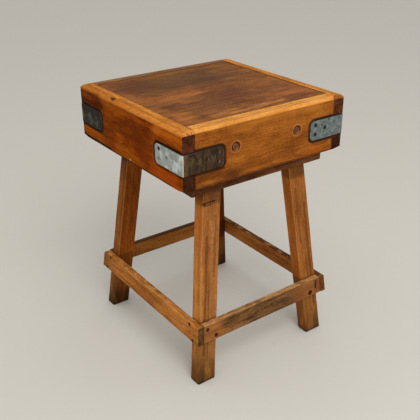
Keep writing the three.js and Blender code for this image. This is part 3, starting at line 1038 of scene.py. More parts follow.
    def _dress_side_boards(self) -> None:
        """Gives the side boards russet faces, a golden top and dark end grain."""
        ends = (Facing(FRONT, 0.3, 0.5) | Facing(BACK, 0.3, 0.5)) & ~Facing(UP, 0.3, 0.45)
        end_chamfer = (Facing(FRONT, 0.3, 0.5) | Facing(BACK, 0.3, 0.5)) & Facing(UP, 0.3, 0.45)
        along = (1.0, 0.45, 1.6)
        for side, sign in SIDES.items():
            outer = sign * self.half_width
            face = Facing((sign, 0, 0), 0.6, 0.9)
            lines = [
                Around((sign * x, 0, self.top), (0.0002, 1, 0.004), 0.0008, 0.0008, 0.0003, 40.0)
                for x in (0.2725, 0.2835)
            ]
            chip = Around((*self.chip_place, self.top), (0.001, 0.008, 0.004), 0.006, 0.003, 0.003, 160.0)
            left_chip_and_highlight = (
                Layer(chip, screen(60, 36, 18), 0.85),
                # A pale painted highlight spot near the base.
                Layer(Around((outer, -0.0105, 0.697), reach=0.004), screen(196, 186, 172), 0.9),
            )
            # The end grain's upturned chamfer: a painted golden highlight on the left board, plain darker brown on the
            # right.
            end_chamfer_colour = screen(214, 140, 72) if side == "left" else screen(112, 62, 34)
            # A painted highlight line along the foot of the outer chamfer.
            chamfer_foot_highlight = Around((outer, 0, self.top - self.chamfer), (0.0, 1, 0.0004), 0.0016, 0.0012, 0.0004, 60.0)
            timber = Timber(
                name="side_board_wood",
                tone=RUSSET,
                other_tones=((Facing(UP, 0.3, 0.6), SIDE_GOLD), (ends, END_GRAIN)),
                layers=self._frame_layers("side_board_" + side, ~ends)
                + (
                    Layer(end_chamfer, end_chamfer_colour, 0.6),
                    Layer(end_chamfer & Patches(230, 0.5, 0.58), screen(92, 48, 22), 0.75),
                    Layer(Facing((sign * 0.7071, 0, 0.7071), 0.9, 0.98), screen(214, 134, 52), 0.5),
                    Layer(Facing((sign * 0.7071, 0, 0.7071), 0.9, 0.98) & Beyond(Axis.Y, -0.16, 0.12), screen(170, 98, 32), 0.55),
                    Layer(Facing((sign * 0.7071, 0, 0.7071), 0.9, 0.98) & Patches(120, 0.5, 0.64, (1, 0.3, 1)), screen(150, 84, 30), 0.5),
                    Layer(Around((outer - sign * 0.0135, 0, self.top), (0.0005, 1, 0.003), 0.0015, 0.001), screen(150, 84, 26), 0.5),
                    Layer(chamfer_foot_highlight, screen(228, 150, 76), 0.55),
                    Layer(ends & Beyond(Axis.Z, 0.80, 0.73), screen(38, 20, 14), 0.6),
                    self._stain_and_shade(face, (outer, 0.24, 0.85), (0.02, 0.06, 0.002), 0.06, screen(58, 20, 2), 0.85, along),
                    self._stain_and_shade(face, (outer, 0.24, 0.79), (0.02, 0.08, 0.03), 0.025, screen(34, 11, 1), 0.6, along),
                    # Painted shade along the rounded back corner.
                    self._stain_and_shade(face, (outer, 0.30, 0.77), (0.02, 0.002, 0.1), 0.018, DARK_DIRT_AND_SHADE, 0.7, along),
                    # Painted shade along the rounded base edge.
                    self._stain_and_shade(face, (outer, 0.20, 0.689), (0.02, 0.11, 0.002), 0.014, DARK_DIRT_AND_SHADE, 0.85, along),
                    self._stain_and_shade(face, (outer, 0.12, 0.74), (0.02, 0.02, 0.03), 0.06, screen(84, 32, 2), 0.6, along),
                    self._stain_and_shade(face, (outer, 0.02, 0.79), (0.02, 0.07, 0.01), 0.05, screen(84, 32, 2), 0.6, along),
                    self._stain_and_shade(face, (outer, -0.10, 0.76), (0.02, 0.03, 0.01), 0.05, screen(96, 38, 2), 0.5, along),
                    self._stain_and_shade(face, (outer, -0.20, 0.71), (0.02, 0.06, 0.002), 0.05, screen(178, 76, 8), 0.65, along),
                    self._stain_and_shade(face, (outer, -0.23, 0.84), (0.02, 0.06, 0.0), 0.035, screen(196, 102, 22), 0.8, along),
                    self._stain_and_shade(face, (outer, 0.05, 0.845), (0.02, 0.10, 0.0), 0.02, screen(150, 76, 16), 0.5, along),
                    self._stain_and_shade(face, (outer, 0.08, 0.70), (0.02, 0.10, 0.002), 0.025, screen(150, 74, 10), 0.5, along),
                    # Painted shade along the rounded base edge, darker towards the back.
                    Layer(Around((outer, 0.21, 0.687), (0.008, 0.10, 0.0055), 0.008, 0.006, 0.001, 40.0), screen(26, 14, 8), 0.95),
                    Layer(Around((outer, 0.0, 0.687), (0.008, 0.24, 0.002), 0.007, 0.006, 0.001, 40.0), screen(52, 26, 12), 0.85),
                    Layer(Facing(UP, 0.8, 0.95) & (lines[0] | lines[1]), DARK_DIRT_AND_SHADE, 0.5),
                )
                + (left_chip_and_highlight if side == "left" else ()),
                mottle_strength=0.45,
                gloss=0.01,
            )
            grain = Grain((0.03, 1, 0.05), (sign * 0.34, 0, 0.74), 3.0 + sign)
            timber.dress(self.pieces["side_board_" + side], "frame_wood", grain)

    def _dress_end_boards(self) -> None:
        """Gives the end boards honey-coloured faces and a bright golden top."""
        for end, sign in ENDS.items():
            outer = sign * self.half_depth
            face = Facing((0, sign, 0), 0.6, 0.9)
            strip = STRIP_GOLD if end == "front" else BACK_STRIP
            groove = Around((0, outer - sign * self.chamfer, self.top), (1, 0.0003, 0.003), 0.0012, 0.001, 0.0004, 50.0)
            along = (0.5, 1.0, 1.5)
            timber = Timber(
                name="end_board_wood",
                tone=HONEY,
                other_tones=((Facing(UP, 0.3, 0.6), strip),),
                layers=self._frame_layers("end_board_" + end)
                + (
                    Layer(groove, screen(150, 88, 34), 0.6),
                    self._stain_and_shade(face, (0.02, outer, 0.845), (0.17, 0.02, 0.0), 0.035, screen(176, 108, 38), 0.7, along),
                    self._stain_and_shade(face, (-0.14, outer, 0.79), (0.005, 0.02, 0.02), 0.045, screen(118, 56, 18), 0.4, along),
                    self._stain_and_shade(face, (0.158, outer, 0.79), (0.006, 0.02, 0.03), 0.03, screen(124, 62, 18), 0.35, along),
                    Layer(face & Beyond(Axis.X, 0.2588, 0.2594), screen(84, 42, 22), 0.85),
                    self._stain_and_shade(face, (0.21, outer, 0.70), (0.06, 0.02, 0.0), 0.03, screen(156, 74, 14), 0.7, along),
                    self._stain_and_shade(face, (-0.19, outer, 0.71), (0.06, 0.02, 0.0), 0.05, screen(78, 38, 12), 0.85, along),
                    self._stain_and_shade(face, (0.05, outer, 0.72), (0.03, 0.02, 0.0), 0.04, screen(118, 60, 18), 0.5, along),
                    # Painted shade along the rounded base edge.
                    self._stain_and_shade(face, (0.0, outer, 0.69), (0.26, 0.02, 0.0), 0.011, screen(84, 42, 16), 0.75, along),
                ),
                streak_strength=0.3,
            )
            grain = Grain((1, 0.01, 0.015), (0.1, sign * 0.36, 0.72), 7.0 + sign)
            timber.dress(self.pieces["end_board_" + end], "frame_wood", grain)

    @staticmethod
    def _stain_and_shade(
        face: Region,
        middle: tuple[float, float, float],
        half: tuple[float, float, float],
        soft: float,
        colour: Colour,
        strength: float,
        stretch: tuple[float, float, float] = (1.0, 1.0, 1.0),
    ) -> Layer:
        """A wide stain, or painted shade, that fades out unevenly.

        Args:
            face: The side that it lies on.
            middle: The middle of the place that it covers.
            half: Half the size of that place.
            soft: How far it takes to fade out.
            colour: Its colour.
            strength: How much of the wood under it is hidden.
            stretch: How much finer its edge wanders along each axis.

        Returns:
            The stain.
        """
        spread = Around(middle, half, 0.8 * soft, 1.1 * soft, 0.6 * soft, 0.8 / soft, stretch)
        return Layer(face & spread, colour, strength)

    def _frame_layers(self, node: str, spared: Optional[Region] = None) -> tuple[Layer, ...]:
        """The stains, dirt, rubbed arrises and painted light and shade that the boards of the frame share.

        Args:
            node: The board's node.
            spared: Where the arrises are rubbed bright with a painted highlight, or none for all of them.

        Returns:
            The layers.
        """
        core_middle, core_half = self._core()
        wear_and_painted_light = [
            # Dirt and painted shade along the joint with the core.
            Layer(Around(core_middle, core_half, 0.0035, 0.0035, 0.001), DARK_DIRT_AND_SHADE, 0.8),
            # Arrises rubbed bright, with a painted highlight.
            Layer(Arrises() & spared if spared else Arrises(), screen(214, 140, 66), 0.3),
            # Painted shade along the rounded base edge.
            Layer(Beyond(Axis.Z, self.base_height + 0.009, self.base_height + 0.001), DARK_DIRT_AND_SHADE, 0.45),
        ]
        across = Axis.X if node.startswith("side") else Axis.Y
        for end in ENDS:
            for side in SIDES:
                if end in node or side in node:
                    # Iron stain with painted shade round each strap's arm on this board.
                    wear_and_painted_light.append(Layer(self._beside(f"{end}_{side}", across), IRON_STAIN_AND_SHADE, 0.9))
        for point in self.bolt_points.get(node, ()):
            # A pale painted highlight round the counterbore's rim.
            rim_highlight = Around(tuple(point), reach=0.0225, soft=0.005) & ~Around(tuple(point), reach=0.0165)
            wear_and_painted_light.append(Layer(rim_highlight, screen(188, 124, 78), 0.4))
            # Painted shade in the counterbore's mouth.
            wear_and_painted_light.append(Layer(Around(tuple(point), reach=0.0162, soft=0.001), screen(86, 42, 16), 0.75))
        return tuple(wear_and_painted_light)

    @staticmethod
    def _core() -> tuple[tuple[float, ...], tuple[float, ...]]:
        """The middle of the staves, and half their size together."""
        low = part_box("stave_1")[0]
        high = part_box("stave_9")[1]
        return tuple((low + high) / 2), tuple((high - low) / 2)

    def _beside(self, strap: str, across: Axis) -> Region:
        """Round a strap's arm, on the face that an axis crosses."""
        low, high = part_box("corner_strap_" + strap)
        half = (high - low) / 2
        inset = self.strap_radius * (Vector((1, 1, 1)) - across.vector)
        reach = self.strap_radius + self.stain_and_shade_reach
        return Around(tuple((low + high) / 2), tuple(half - inset), reach, 0.004, 0.0008, 120.0)

    def _dress_staves(self) -> None:
        """Gives the staves the stained brown of a cutting surface."""
        core_middle, core_half = self._core()
        inside = Around(core_middle, tuple(Vector(core_half) - Vector((0.006, 0.006, 0))), 0.006, 0.005)
        height = self.top
        top = Facing(UP, 0.3, 0.6)
        along = (0.45, 1.6, 1.0)
        glow = Around(core_middle, tuple(Vector(core_half) - Vector((0.045, 0.03, 0))), 0.03, 0.03, 0.02, 14.0)
        fine = Patches(34, 0.34, 0.6, (0.3, 1.3, 1), 6.0)
        layers = (
            Layer(~glow & fine, screen(168, 104, 44), 0.4),
            Layer(Patches(4.5, 0.45, 0.62, (1, 1.8, 1)), screen(88, 54, 28), 0.5),
            Layer(Patches(6, 0.54, 0.7, (1, 2.6, 1), 4.0), screen(158, 94, 38), 0.45),
            Layer(Patches(9, 0.54, 0.7, (1, 1.6, 1), 9.0), screen(104, 46, 22), 0.4),
            Layer(Patches(22, 0.5, 0.66, (0.4, 1.5, 1), 12.0), screen(150, 92, 42), 0.35),
            Layer(Patches(26, 0.54, 0.66, (0.5, 1.5, 1), 15.0), screen(70, 38, 20), 0.4),
            self._stain_and_shade(top, (0.0, 0.15, height), (0.11, 0.03, 0.01), 0.11, screen(86, 60, 32), 0.6, along),
            self._stain_and_shade(top, (0.02, 0.09, height), (0.07, 0.01, 0.01), 0.06, screen(66, 46, 28), 0.5, along),
            self._stain_and_shade(top & fine, (-0.10, -0.01, height), (0.06, 0.01, 0.01), 0.05, screen(180, 108, 46), 0.7, along),
            self._stain_and_shade(top & fine, (-0.20, 0.01, height), (0.05, 0.02, 0.01), 0.05, screen(156, 90, 34), 0.6, along),
            self._stain_and_shade(top, (0.03, -0.07, height), (0.03, 0.03, 0.01), 0.08, screen(88, 42, 24), 0.55, along),
            self._stain_and_shade(top & fine, (0.20, 0.21, height), (0.05, 0.02, 0.01), 0.06, screen(140, 90, 34), 0.7, along),
            self._stain_and_shade(top & fine, (0.0, 0.235, height), (0.12, 0.004, 0.01), 0.03, screen(142, 86, 32), 0.6, along),
            self._stain_and_shade(top, (-0.12, -0.14, height), (0.05, 0.02, 0.01), 0.06, screen(114, 74, 42), 0.5, along),
            self._stain_and_shade(top, (0.15, -0.10, height), (0.05, 0.004, 0.01), 0.03, screen(116, 76, 44), 0.5, along),
            self._stain_and_shade(top, (-0.18, 0.16, height), (0.05, 0.03, 0.01), 0.07, screen(84, 42, 18), 0.5, along),
            self._stain_and_shade(top & fine, (-0.19, -0.075, height), (0.03, 0.004, 0.01), 0.02, screen(58, 30, 16), 0.8, along),
            self._stain_and_shade(top & fine, (-0.17, -0.18, height), (0.01, 0.006, 0.01), 0.02, screen(62, 42, 24), 0.7, along),
            self._stain_and_shade(top & fine, (-0.02, -0.225, height), (0.13, 0.004, 0.01), 0.025, screen(204, 130, 62), 0.85, along),
            self._stain_and_shade(top & fine, (-0.22, -0.20, height), (0.01, 0.03, 0.01), 0.05, screen(180, 108, 42), 0.85, along),
            self._stain_and_shade(top & fine, (0.18, -0.18, height), (0.07, 0.02, 0.01), 0.05, screen(166, 94, 36), 0.75, along),
            self._stain_and_shade(top & fine, (0.20, -0.02, height), (0.05, 0.02, 0.01), 0.05, screen(146, 88, 34), 0.7, along),
            # Dirt and painted shade along the staves' edges beside the frame.
            Layer(~inside, DARK_DIRT_AND_SHADE, 0.6),
        )
        for number in range(1, self.stave_count + 1):
            stave = self.pieces[f"stave_{number}"]
            timber = Timber(
                name="stave_wood",
                tone=STAINED_BROWN,
                layers=layers,
                ring_strength=0.12,
                fibre_strength=0.4,
                streak_strength=0.36,
                cloud_strength=0.15,
                mottle_strength=0.35,
                speckle_strength=0.55,
            )
            tilt = 0.01 * math.sin(number * 2.4)
            heart = (0, number * 0.03, 0.7 + 0.05 * math.sin(number * 1.7))
            timber.dress(stave, "core_wood", Grain((1, tilt, 0.01), heart, number * 1.37))


@dataclass
class TieBolts:
    """The two tie bolts with their nuts and washers."""

    sides: int = 40
    flat_count: int = 6
    nut_bore: float = 0.0053
    crown: float = 0.0011
    thread_depth: float = 0.0007
    thread_pitch: float = 0.0018
    washer_edge: float = 0.0004
    hole_gap: float = 0.0003
    pieces: dict[str, Piece] = field(default_factory=dict)

    def places(self, face: float) -> list[Vector]:
        """Where the bolts' axes meet an end board's face.

        Args:
            face: The face's Y.

        Returns:
            A point for each bolt.
        """
        boxes = [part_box("tie_bolt_nut_" + side) for side in SIDES]
        return [Vector(((low.x + high.x) / 2, face, (low.z + high.z) / 2)) for low, high in boxes]

    def build(self) -> None:
        """Makes the nuts, bolts and washers."""
        for side, point in zip(SIDES, self.places(0.0)):
            self._add_nut(side, point)
            self._add_bolt(side, point)
            for end, sign in ENDS.items():
                self._add_washer(side, end, sign, point)

    def _crowned_hexagon(self, name: str, across_flats: float, height: float) -> Piece:
        """A hexagon on the Z axis, from 0 up, with its corners taken off at the top."""
        radius = across_flats / math.sqrt(3)
        body = turned(name, [(radius, 0), (radius, height)], self.flat_count)
        flat = 0.47 * across_flats
        rings = [(radius + self.crown, -OVERRUN), (radius + self.crown, height - self.crown), (flat, height)]
        crown = turned("crown", rings, self.sides)
        apply_modifier(body, "BOOLEAN", operation="INTERSECT", solver="EXACT", object=crown)
        bpy.data.objects.remove(crown)
        return body

    def _add_nut(self, side: str, point: Vector) -> None:
        """Makes the nut at the front."""
        node = "tie_bolt_nut_" + side
        low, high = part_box(node)
        across = min(high.x - low.x, high.z - low.z)
        nut = self._crowned_hexagon(side + "_tie_bolt_nut", across, high.y - low.y)
        cut(nut, turned("bore", [(self.nut_bore, -OVERRUN), (self.nut_bore, OVERRUN)], self.sides))
        nut.data.transform(pointing((point.x, high.y, point.z), FRONT, 0.2))
        self.pieces[node] = nut

    def _add_bolt(self, side: str, point: Vector) -> None:
        """Makes a bolt with its head at the back and threads at its front end."""
        node = "tie_bolt_" + side
        low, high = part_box(node)
        radius = 0.005
        head_height = 0.0065
        across = min(high.x - low.x, high.z - low.z)
        head = self._crowned_hexagon(side + "_tie_bolt", across, head_height)
        head.data.transform(pointing((point.x, high.y - head_height, point.z), BACK))
        rings = [(radius, 0.0)]
        depth = self.thread_depth
        threads = 12
        length = high.y - low.y - head_height / 2
        bottom = length - threads * self.thread_pitch - 0.001
        for turn in range(threads):
            rings.append((radius, bottom + turn * self.thread_pitch))
            rings.append((radius - depth, bottom + (turn + 0.5) * self.thread_pitch))
        rings += [(radius, length - 0.001), (radius - depth, length)]
        shank = turned("shank", rings, self.sides)
        shank.data.transform(pointing((point.x, low.y + length, point.z), FRONT))
        apply_modifier(head, "BOOLEAN", operation="UNION", solver="EXACT", object=shank)
        bpy.data.objects.remove(shank)
        self.pieces[node] = head

    def _add_washer(self, side: str, end: str, sign: int, point: Vector) -> None:
        """Makes one washer."""
        node = f"tie_bolt_washer_{end}_{side}"
        low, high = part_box(node)
        radius = (high.x - low.x) / 2
        height = high.y - low.y
        edge = self.washer_edge
        rings = [(radius, 0), (radius, height - edge), (radius - edge, height)]
        washer = turned(f"{end}_{side}_tie_bolt_washer", rings, self.sides)
        cut(washer, turned("bore", [(self.nut_bore, -OVERRUN), (self.nut_bore, OVERRUN)], self.sides))
        seat = high.y if sign < 0 else low.y
        washer.data.transform(pointing((point.x, seat, point.z), (0, sign, 0)))
        self.pieces[node] = washer

    def dress(self) -> None:
        """Finishes the bolts, nuts and washers."""
        rubbed = Steel("rubbed_nut_steel", screen(98, 54, 30), screen(154, 100, 66), metallic=0.0)
        bright = Steel("rubbed_bolt_steel", screen(62, 28, 11), screen(116, 66, 38), metallic=0.0)
        rusty = Steel("rusty_washer_steel", screen(80, 40, 17), screen(122, 72, 40), metallic=0.0)
        for node, piece in self.pieces.items():
            smooth(piece)
            steel = rubbed if "nut" in node else rusty if "washer" in node else bright
            steel.dress(piece, "bolt_steel")
            stand_for(piece, node)


@dataclass
class WoodScrew:
    """A countersunk screw with a slot."""

    head_radius: float = 0.0055
    head_height: float = 0.0032
    shank_radius: float = 0.0027
    point_length: float = 0.006
    slot_width: float = 0.0013
    slot_depth: float = 0.0012
    thread_pitch: float = 0.0026
    thread_depth: float = 0.0006
    play: float = 0.0003
    sides: int = 24

    def model(self, name: str, length: float) -> Piece:
        """Makes a screw that points down the Z axis, with the top of its head at the origin.

        Args:
            name: The piece's name.
            length: The screw's length.

        Returns:
            The screw.
        """
        neck = -self.head_height
        start = -length + self.point_length
        rings = [(self.shank_radius * 0.15, -length), (self.shank_radius, start)]
        turns = int((0.6 * length - self.point_length) / self.thread_pitch)
        for turn in range(turns):
            base = start + turn * self.thread_pitch
            rings.append((self.shank_radius - self.thread_depth, base + 0.4 * self.thread_pitch))
            rings.append((self.shank_radius, base + 0.8 * self.thread_pitch))
        rings += [(self.shank_radius, neck), (self.head_radius, -0.0004), (self.head_radius - 0.0004, 0)]
        screw = turned(name, rings, self.sides)
        half = self.slot_width / 2
        slot = cube("slot", (-OVERRUN, -half, -self.slot_depth), (OVERRUN, half, OVERRUN))
        cut(screw, slot)
        return smooth(screw)

    def hole(self, length: float) -> Piece:
        """Makes the space that a screw of this length needs, open above its head."""
        shank = self.shank_radius + self.play
        head = self.head_radius + self.play
        neck = -self.head_height - self.play
        rings = [(0.0005, -length), (shank, -length + self.point_length), (shank, neck), (head, 0)]
        return turned("screw_hole", rings + [(head, OVERRUN)], self.sides)


@dataclass
class Seat:
    """Where a screw goes: the middle of its head, the way out of it, and how far it is turned."""

    point: Vector
    way: Vector
    spin: float

    def matrix(self) -> Matrix:
        """The change that puts a screw there."""
        return pointing(self.point, self.way, self.spin)


@dataclass
class CornerStraps:
    """The four steel straps round the block's corners, and their screws."""

    thickness: float = 0.005
    inner_radius: float = 0.001
    edge_gap: float = 0.0014
    end_radius: float = 0.016
    housing_gap: float = 0.0012
    seat: float = 0.0003
    end_margin: float = 0.022
    inner_margin: float = 0.062
    spread: float = 0.030
    screw_rise: float = 0.0025
    screw_length: float = 0.032
    sink: float = 0.0008
    edge: float = 0.0008
    bend_steps: int = 8
    weld_gap: float = 0.0001
    end_steps: int = 10
    spin_step: float = 2.4
    screw: WoodScrew = field(default_factory=WoodScrew)
    screw_stain: float = 0.0078
    pieces: dict[str, list[Piece]] = field(default_factory=dict)

    def build(self, block: Block) -> None:
        """Makes the straps and screws, and cuts their housings into the block's boards."""
        plate = self._plate("strap", -self.edge_gap, 0.0, 0.0)
        for seat in self._seats():
            hole = self.screw.hole(self.screw_length)
            hole.data.transform(seat.matrix())
            cut(plate, hole)
        apply_modifier(
            plate, "BEVEL", width=self.edge, segments=2, limit_method="ANGLE", angle_limit=math.radians(50)
        )
        housing = self._plate("housing", self.housing_gap, self.seat, OVERRUN)
        screw = self.screw.model("strap_screw", self.screw_length)
        for end, y_sign in ENDS.items():
            for side, x_sign in SIDES.items():
                mirror = Matrix.Diagonal((x_sign, y_sign, 1, 1))
                self._add_corner(end, side, mirror, plate, screw)
                self._house(block, end, side, mirror, housing)
        for pattern in (plate, housing, screw):
            bpy.data.objects.remove(pattern)

    def _plate(self, name: str, gap: float, inward: float, outward: float) -> Piece:
        """The right back strap, or the space of its housing.

        Args:
            name: The piece's name.
            gap: How far it is grown round its edges.
            inward: How far its inner side is moved into the block.
            outward: How far its outer side is moved out of the block.

        Returns:
            The bent plate.
        """
        low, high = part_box("corner_strap_back_right")
        bend = Vector((high.x, high.y, 0)) - Vector((1, 1, 0)) * (self.thickness + self.inner_radius)
        inner = bend.x + self.inner_radius - inward
        base, top = low.z - gap, high.z + gap
        plate = cube(name, (inner, low.y - gap, base), (high.x + outward, bend.y, top))
        with editing(plate):
            pick(Element.FACE, faces_towards(BACK))
            bpy.ops.mesh.spin(steps=self.bend_steps, angle=-math.pi / 2, center=bend, axis=(0, 0, 1))
            reach = {"value": (low.x - gap - bend.x, 0, 0)}
            bpy.ops.mesh.extrude_region_move(TRANSFORM_OT_translate=reach)
        mend(plate)
        radius = self.end_radius + gap
        round_edges(
            plate, lambda e: runs_along(e, Axis.X) and lies_at(e, Axis.Y, low.y - gap), radius, self.end_steps
        )
        round_edges(
            plate, lambda e: runs_along(e, Axis.Y) and lies_at(e, Axis.X, low.x - gap), radius, self.end_steps
        )
        return plate

    def _seats(self) -> list[Seat]:
        """The six screws of the right back strap."""
        low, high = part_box("corner_strap_back_right")
        middle = (low.z + high.z) / 2 + self.screw_rise
        pattern = [
            (self.end_margin, self.spread / 2),
            (self.end_margin, -self.spread / 2),
            (self.inner_margin, 0),
        ]
        seats = []
        for number, (margin, rise) in enumerate(pattern):
            on_side = Vector((high.x - self.sink, low.y + margin, middle + rise))
            on_end = Vector((low.x + margin, high.y - self.sink, middle + rise))
            seats.append(Seat(on_side, Vector(RIGHT), self.spin_step * number))
            seats.append(Seat(on_end, Vector(BACK), self.spin_step * (number + 3)))
        return seats

    def _add_corner(self, end: str, side: str, mirror: Matrix, plate: Piece, screw: Piece) -> None:
        """Copies the strap and its screws to one corner."""
        pieces = [duplicate(plate, f"{end}_{side}_strap", mirror)]
        for number, seat in enumerate(self._seats(), 1):
            name = f"{end}_{side}_strap_screw_{number}"
            pieces.append(duplicate(screw, name, mirror @ seat.matrix()))
        self.pieces[f"corner_strap_{end}_{side}"] = pieces

    def _house(self, block: Block, end: str, side: str, mirror: Matrix, housing: Piece) -> None:
        """Cuts one strap's housing and screw holes into the two boards that it crosses."""
        for node in ("side_board_" + side, "end_board_" + end):
            cutters = [duplicate(housing, "housing_copy", mirror)]
            for seat in self._seats():
                if (abs(seat.way.x) > 0.5) == node.startswith("side"):
                    hole = self.screw.hole(self.screw_length)
                    hole.data.transform(seat.matrix())
                    cutters.append(duplicate(hole, "hole_copy", mirror))
                    bpy.data.objects.remove(hole)
            cut(block.pieces[node], *cutters)
            mend(block.pieces[node], self.weld_gap)

    def dress(self) -> None:
        """Finishes the straps with worn zinc, and the screws with dark steel."""
        for node, (plate, *screws) in self.pieces.items():
            corner = node.replace("corner_strap_", "")
            smooth(plate)
            zinc = Steel("strap_zinc", screen(136, 144, 140), screen(196, 204, 200), self._patina(corner))
            zinc.dress(plate, "strap_steel")
            stand_for(plate, node)
            for number, screw in enumerate(screws, 1):
                steel = STRAP_SCREWS.get(corner, {}).get(number, SCREW_STEEL)
                steel.dress(screw, "screw_steel")
                stand_for(screw)

    def _patina(self, corner: str) -> tuple[Layer, ...]:
        """How one strap has aged: brown and bronze arms, grey dirt and rust specks, with painted shade on its edges.

        Args:
            corner: The strap's end and side.

        Returns:
            The layers.
        """
        low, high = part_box("corner_strap_" + corner)
        specks = Patches(150, 0.64, 0.7)
        layers = [
            Layer(Patches(24, 0.5, 0.7), screen(112, 120, 118), 0.45, rougher=0.1),
            Layer(specks, screen(96, 60, 36), 0.8, rougher=0.2),
        ]
        end, side = corner.split("_")
        on_end = Facing((0, ENDS[end], 0), 0.3, 0.6)
        on_side = Facing((SIDES[side], 0, 0), 0.3, 0.6)
        mirror = Matrix.Diagonal((SIDES[side], ENDS[end], 1, 1))
        if corner in ("front_left", "back_right"):
            bent = low.x if side == "left" else high.x
            inward = -SIDES[side]
            brown = on_end & Beyond(Axis.X, bent + inward * 0.003, bent + inward * 0.020)
            layers += [
                Layer(on_end, screen(88, 70, 46), 1.0, rougher=0.1),
                Layer(brown, screen(56, 35, 18), 0.9, rougher=0.15),
                Layer(on_end & Patches(40, 0.5, 0.64, (1, 1, 0.5)), screen(92, 76, 46), 0.5),
                Layer(on_end & Patches(90, 0.5, 0.62, (1, 1, 0.35), 3.0), screen(26, 14, 6), 0.8),
                Layer(on_side & Patches(70, 0.58, 0.68, shift=7.0), screen(96, 96, 88), 0.6),
                Layer(on_side & Patches(30, 0.48, 0.64, shift=8.0), screen(214, 226, 226), 0.75),
                Layer(Facing((SIDES[side] * 0.7071, ENDS[end] * 0.7071, 0), 0.88, 0.97), screen(196, 184, 154), 0.8),
            ]
        else:
            layers += [
                Layer(on_end, screen(86, 97, 97), 0.9, rougher=0.1),
                Layer(on_end & Patches(60, 0.48, 0.62), screen(124, 134, 130), 0.6),
                Layer(on_end & Patches(90, 0.52, 0.64, shift=2.0), screen(56, 56, 52), 0.7),
                Layer(on_side, screen(34, 26, 18), 1.0, rougher=0.15),
                Layer(on_side & Patches(22, 0.5, 0.64, shift=1.0), screen(92, 94, 80), 0.65),
                Layer(on_side & Patches(70, 0.5, 0.62, shift=5.0), screen(20, 12, 8), 0.7),
            ]
        # Painted shade on the plate's rims and bevels, which face neither arm's way.
        layers.append(Layer(~(on_end | on_side), screen(56, 46, 36), 0.9))
        dark = [number for number in range(1, 7) if number not in STRAP_SCREWS.get(corner, {})]
        for number in dark:
            point = mirror @ self._seats()[number - 1].point
            layers.append(Layer(Around(tuple(point), reach=self.screw_stain, soft=0.002), screen(30, 24, 22), 0.75))
        return tuple(layers)


SCREW_STEEL = Steel("screw_steel", screen(20, 16, 14), screen(52, 42, 34), metallic=0.2, roughness=0.6)
PALE_SCREW = Steel("pale_screw_steel", screen(112, 116, 110), screen(170, 174, 166), metallic=0.5)
BROWN_SCREW = Steel("brown_screw_steel", screen(38, 25, 13), screen(68, 52, 32), metallic=0.0, roughness=0.8, gloss=0.03)
STRETCHER_SCREW = Steel("stretcher_screw_steel", screen(40, 20, 9), screen(88, 50, 28), metallic=0.0, roughness=0.8, gloss=0.05)
RUBBED_SCREW = Steel("rubbed_screw_steel", screen(92, 48, 24), screen(136, 80, 46), metallic=0.0, roughness=0.8, gloss=0.05)
SUNKEN_SCREW = Steel("sunken_screw_steel", screen(30, 15, 7), screen(62, 34, 16), metallic=0.0, roughness=0.8, gloss=0.05)
STRAP_SCREWS = {
    "front_left": {2: BROWN_SCREW, 3: PALE_SCREW, 4: BROWN_SCREW, 5: PALE_SCREW, 6: BROWN_SCREW},
    "back_left": {1: BROWN_SCREW, 3: BROWN_SCREW, 5: BROWN_SCREW},
}


@dataclass
class Splay:
    """How the legs lean: their outer faces' places on the floor, and their runs up to the bearers."""

    run_x: float = 0.070
    run_y: float = 0.0635

    def __post_init__(self) -> None:
        """Reads the feet and the bearers from the frame."""
        low_left, high_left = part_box("leg_front_left")
        low_right, high_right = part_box("leg_back_right")
        self.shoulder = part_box("bearer_front")[0].z
        self.middle_x = (low_left.x + high_right.x) / 2
        self.foot_x = (high_right.x - low_left.x) / 2
        self.foot_y = (high_right.y - low_left.y) / 2
        self.slope_x = self.run_x / self.shoulder
        self.slope_y = self.run_y / self.shoulder

    def face_x(self, sign: int, height: float) -> float:
        """The X of a leg's outer face at a height, on the side of the sign."""
        return self.middle_x + sign * (self.foot_x - self.slope_x * height)

    def face_y(self, sign: int, height: float) -> float:
        """The Y of a leg's outer face at a height, at the end of the sign."""
        return sign * (self.foot_y - self.slope_y * height)


LEG_TONES = {
    "front_left": (
        Tone(screen(124, 68, 22), screen(176, 108, 46), screen(208, 142, 74)),
        Tone(screen(107, 60, 24), screen(153, 96, 47), screen(185, 127, 71)),
    ),
    "back_left": (
        Tone(screen(88, 44, 12), screen(132, 74, 26), screen(170, 108, 50)),
        Tone(screen(88, 40, 6), screen(130, 66, 14), screen(162, 96, 32)),
    ),
    "front_right": (
        Tone(screen(108, 54, 14), screen(160, 90, 32), screen(194, 122, 56)),
        Tone(screen(106, 58, 20), screen(146, 88, 38), screen(176, 114, 58)),
    ),
    "back_right": (
        Tone(screen(58, 24, 6), screen(92, 42, 12), screen(124, 66, 26)),
        Tone(screen(50, 20, 5), screen(80, 36, 10), screen(110, 58, 22)),
    ),
}
FOOT_DIRT = {"front_left": 0.6, "back_left": 0.85, "front_right": 0.5, "back_right": 0.6}
STRETCHER_GOLD = Tone(screen(114, 60, 20), screen(170, 104, 41), screen(204, 138, 68))
STRETCHER_BROWN = Tone(screen(76, 46, 20), screen(120, 82, 44), screen(158, 116, 72))
STRETCHER_TOP = Tone(screen(112, 74, 38), screen(166, 118, 70), screen(204, 156, 104))
STRETCHER_RED_END = Tone(screen(58, 28, 10), screen(100, 55, 24), screen(136, 84, 42))
STRETCHER_RED = Tone(screen(92, 46, 12), screen(150, 88, 34), screen(186, 120, 56))
STRETCHER_YELLOW = Tone(screen(92, 48, 14), screen(144, 88, 34), screen(180, 118, 54))
BIG_HOLE = ("end", "lower", "front", "right")
TORN_HOLE = ("end", "upper", "front", "right")
GOUGE = (0.2335, -0.3070, 0.197)
STRETCHER_END = Tone(screen(44, 26, 14), screen(88, 58, 34), screen(122, 86, 54))
BEARER_BROWN = Tone(screen(48, 22, 8), screen(88, 48, 22), screen(122, 76, 42))


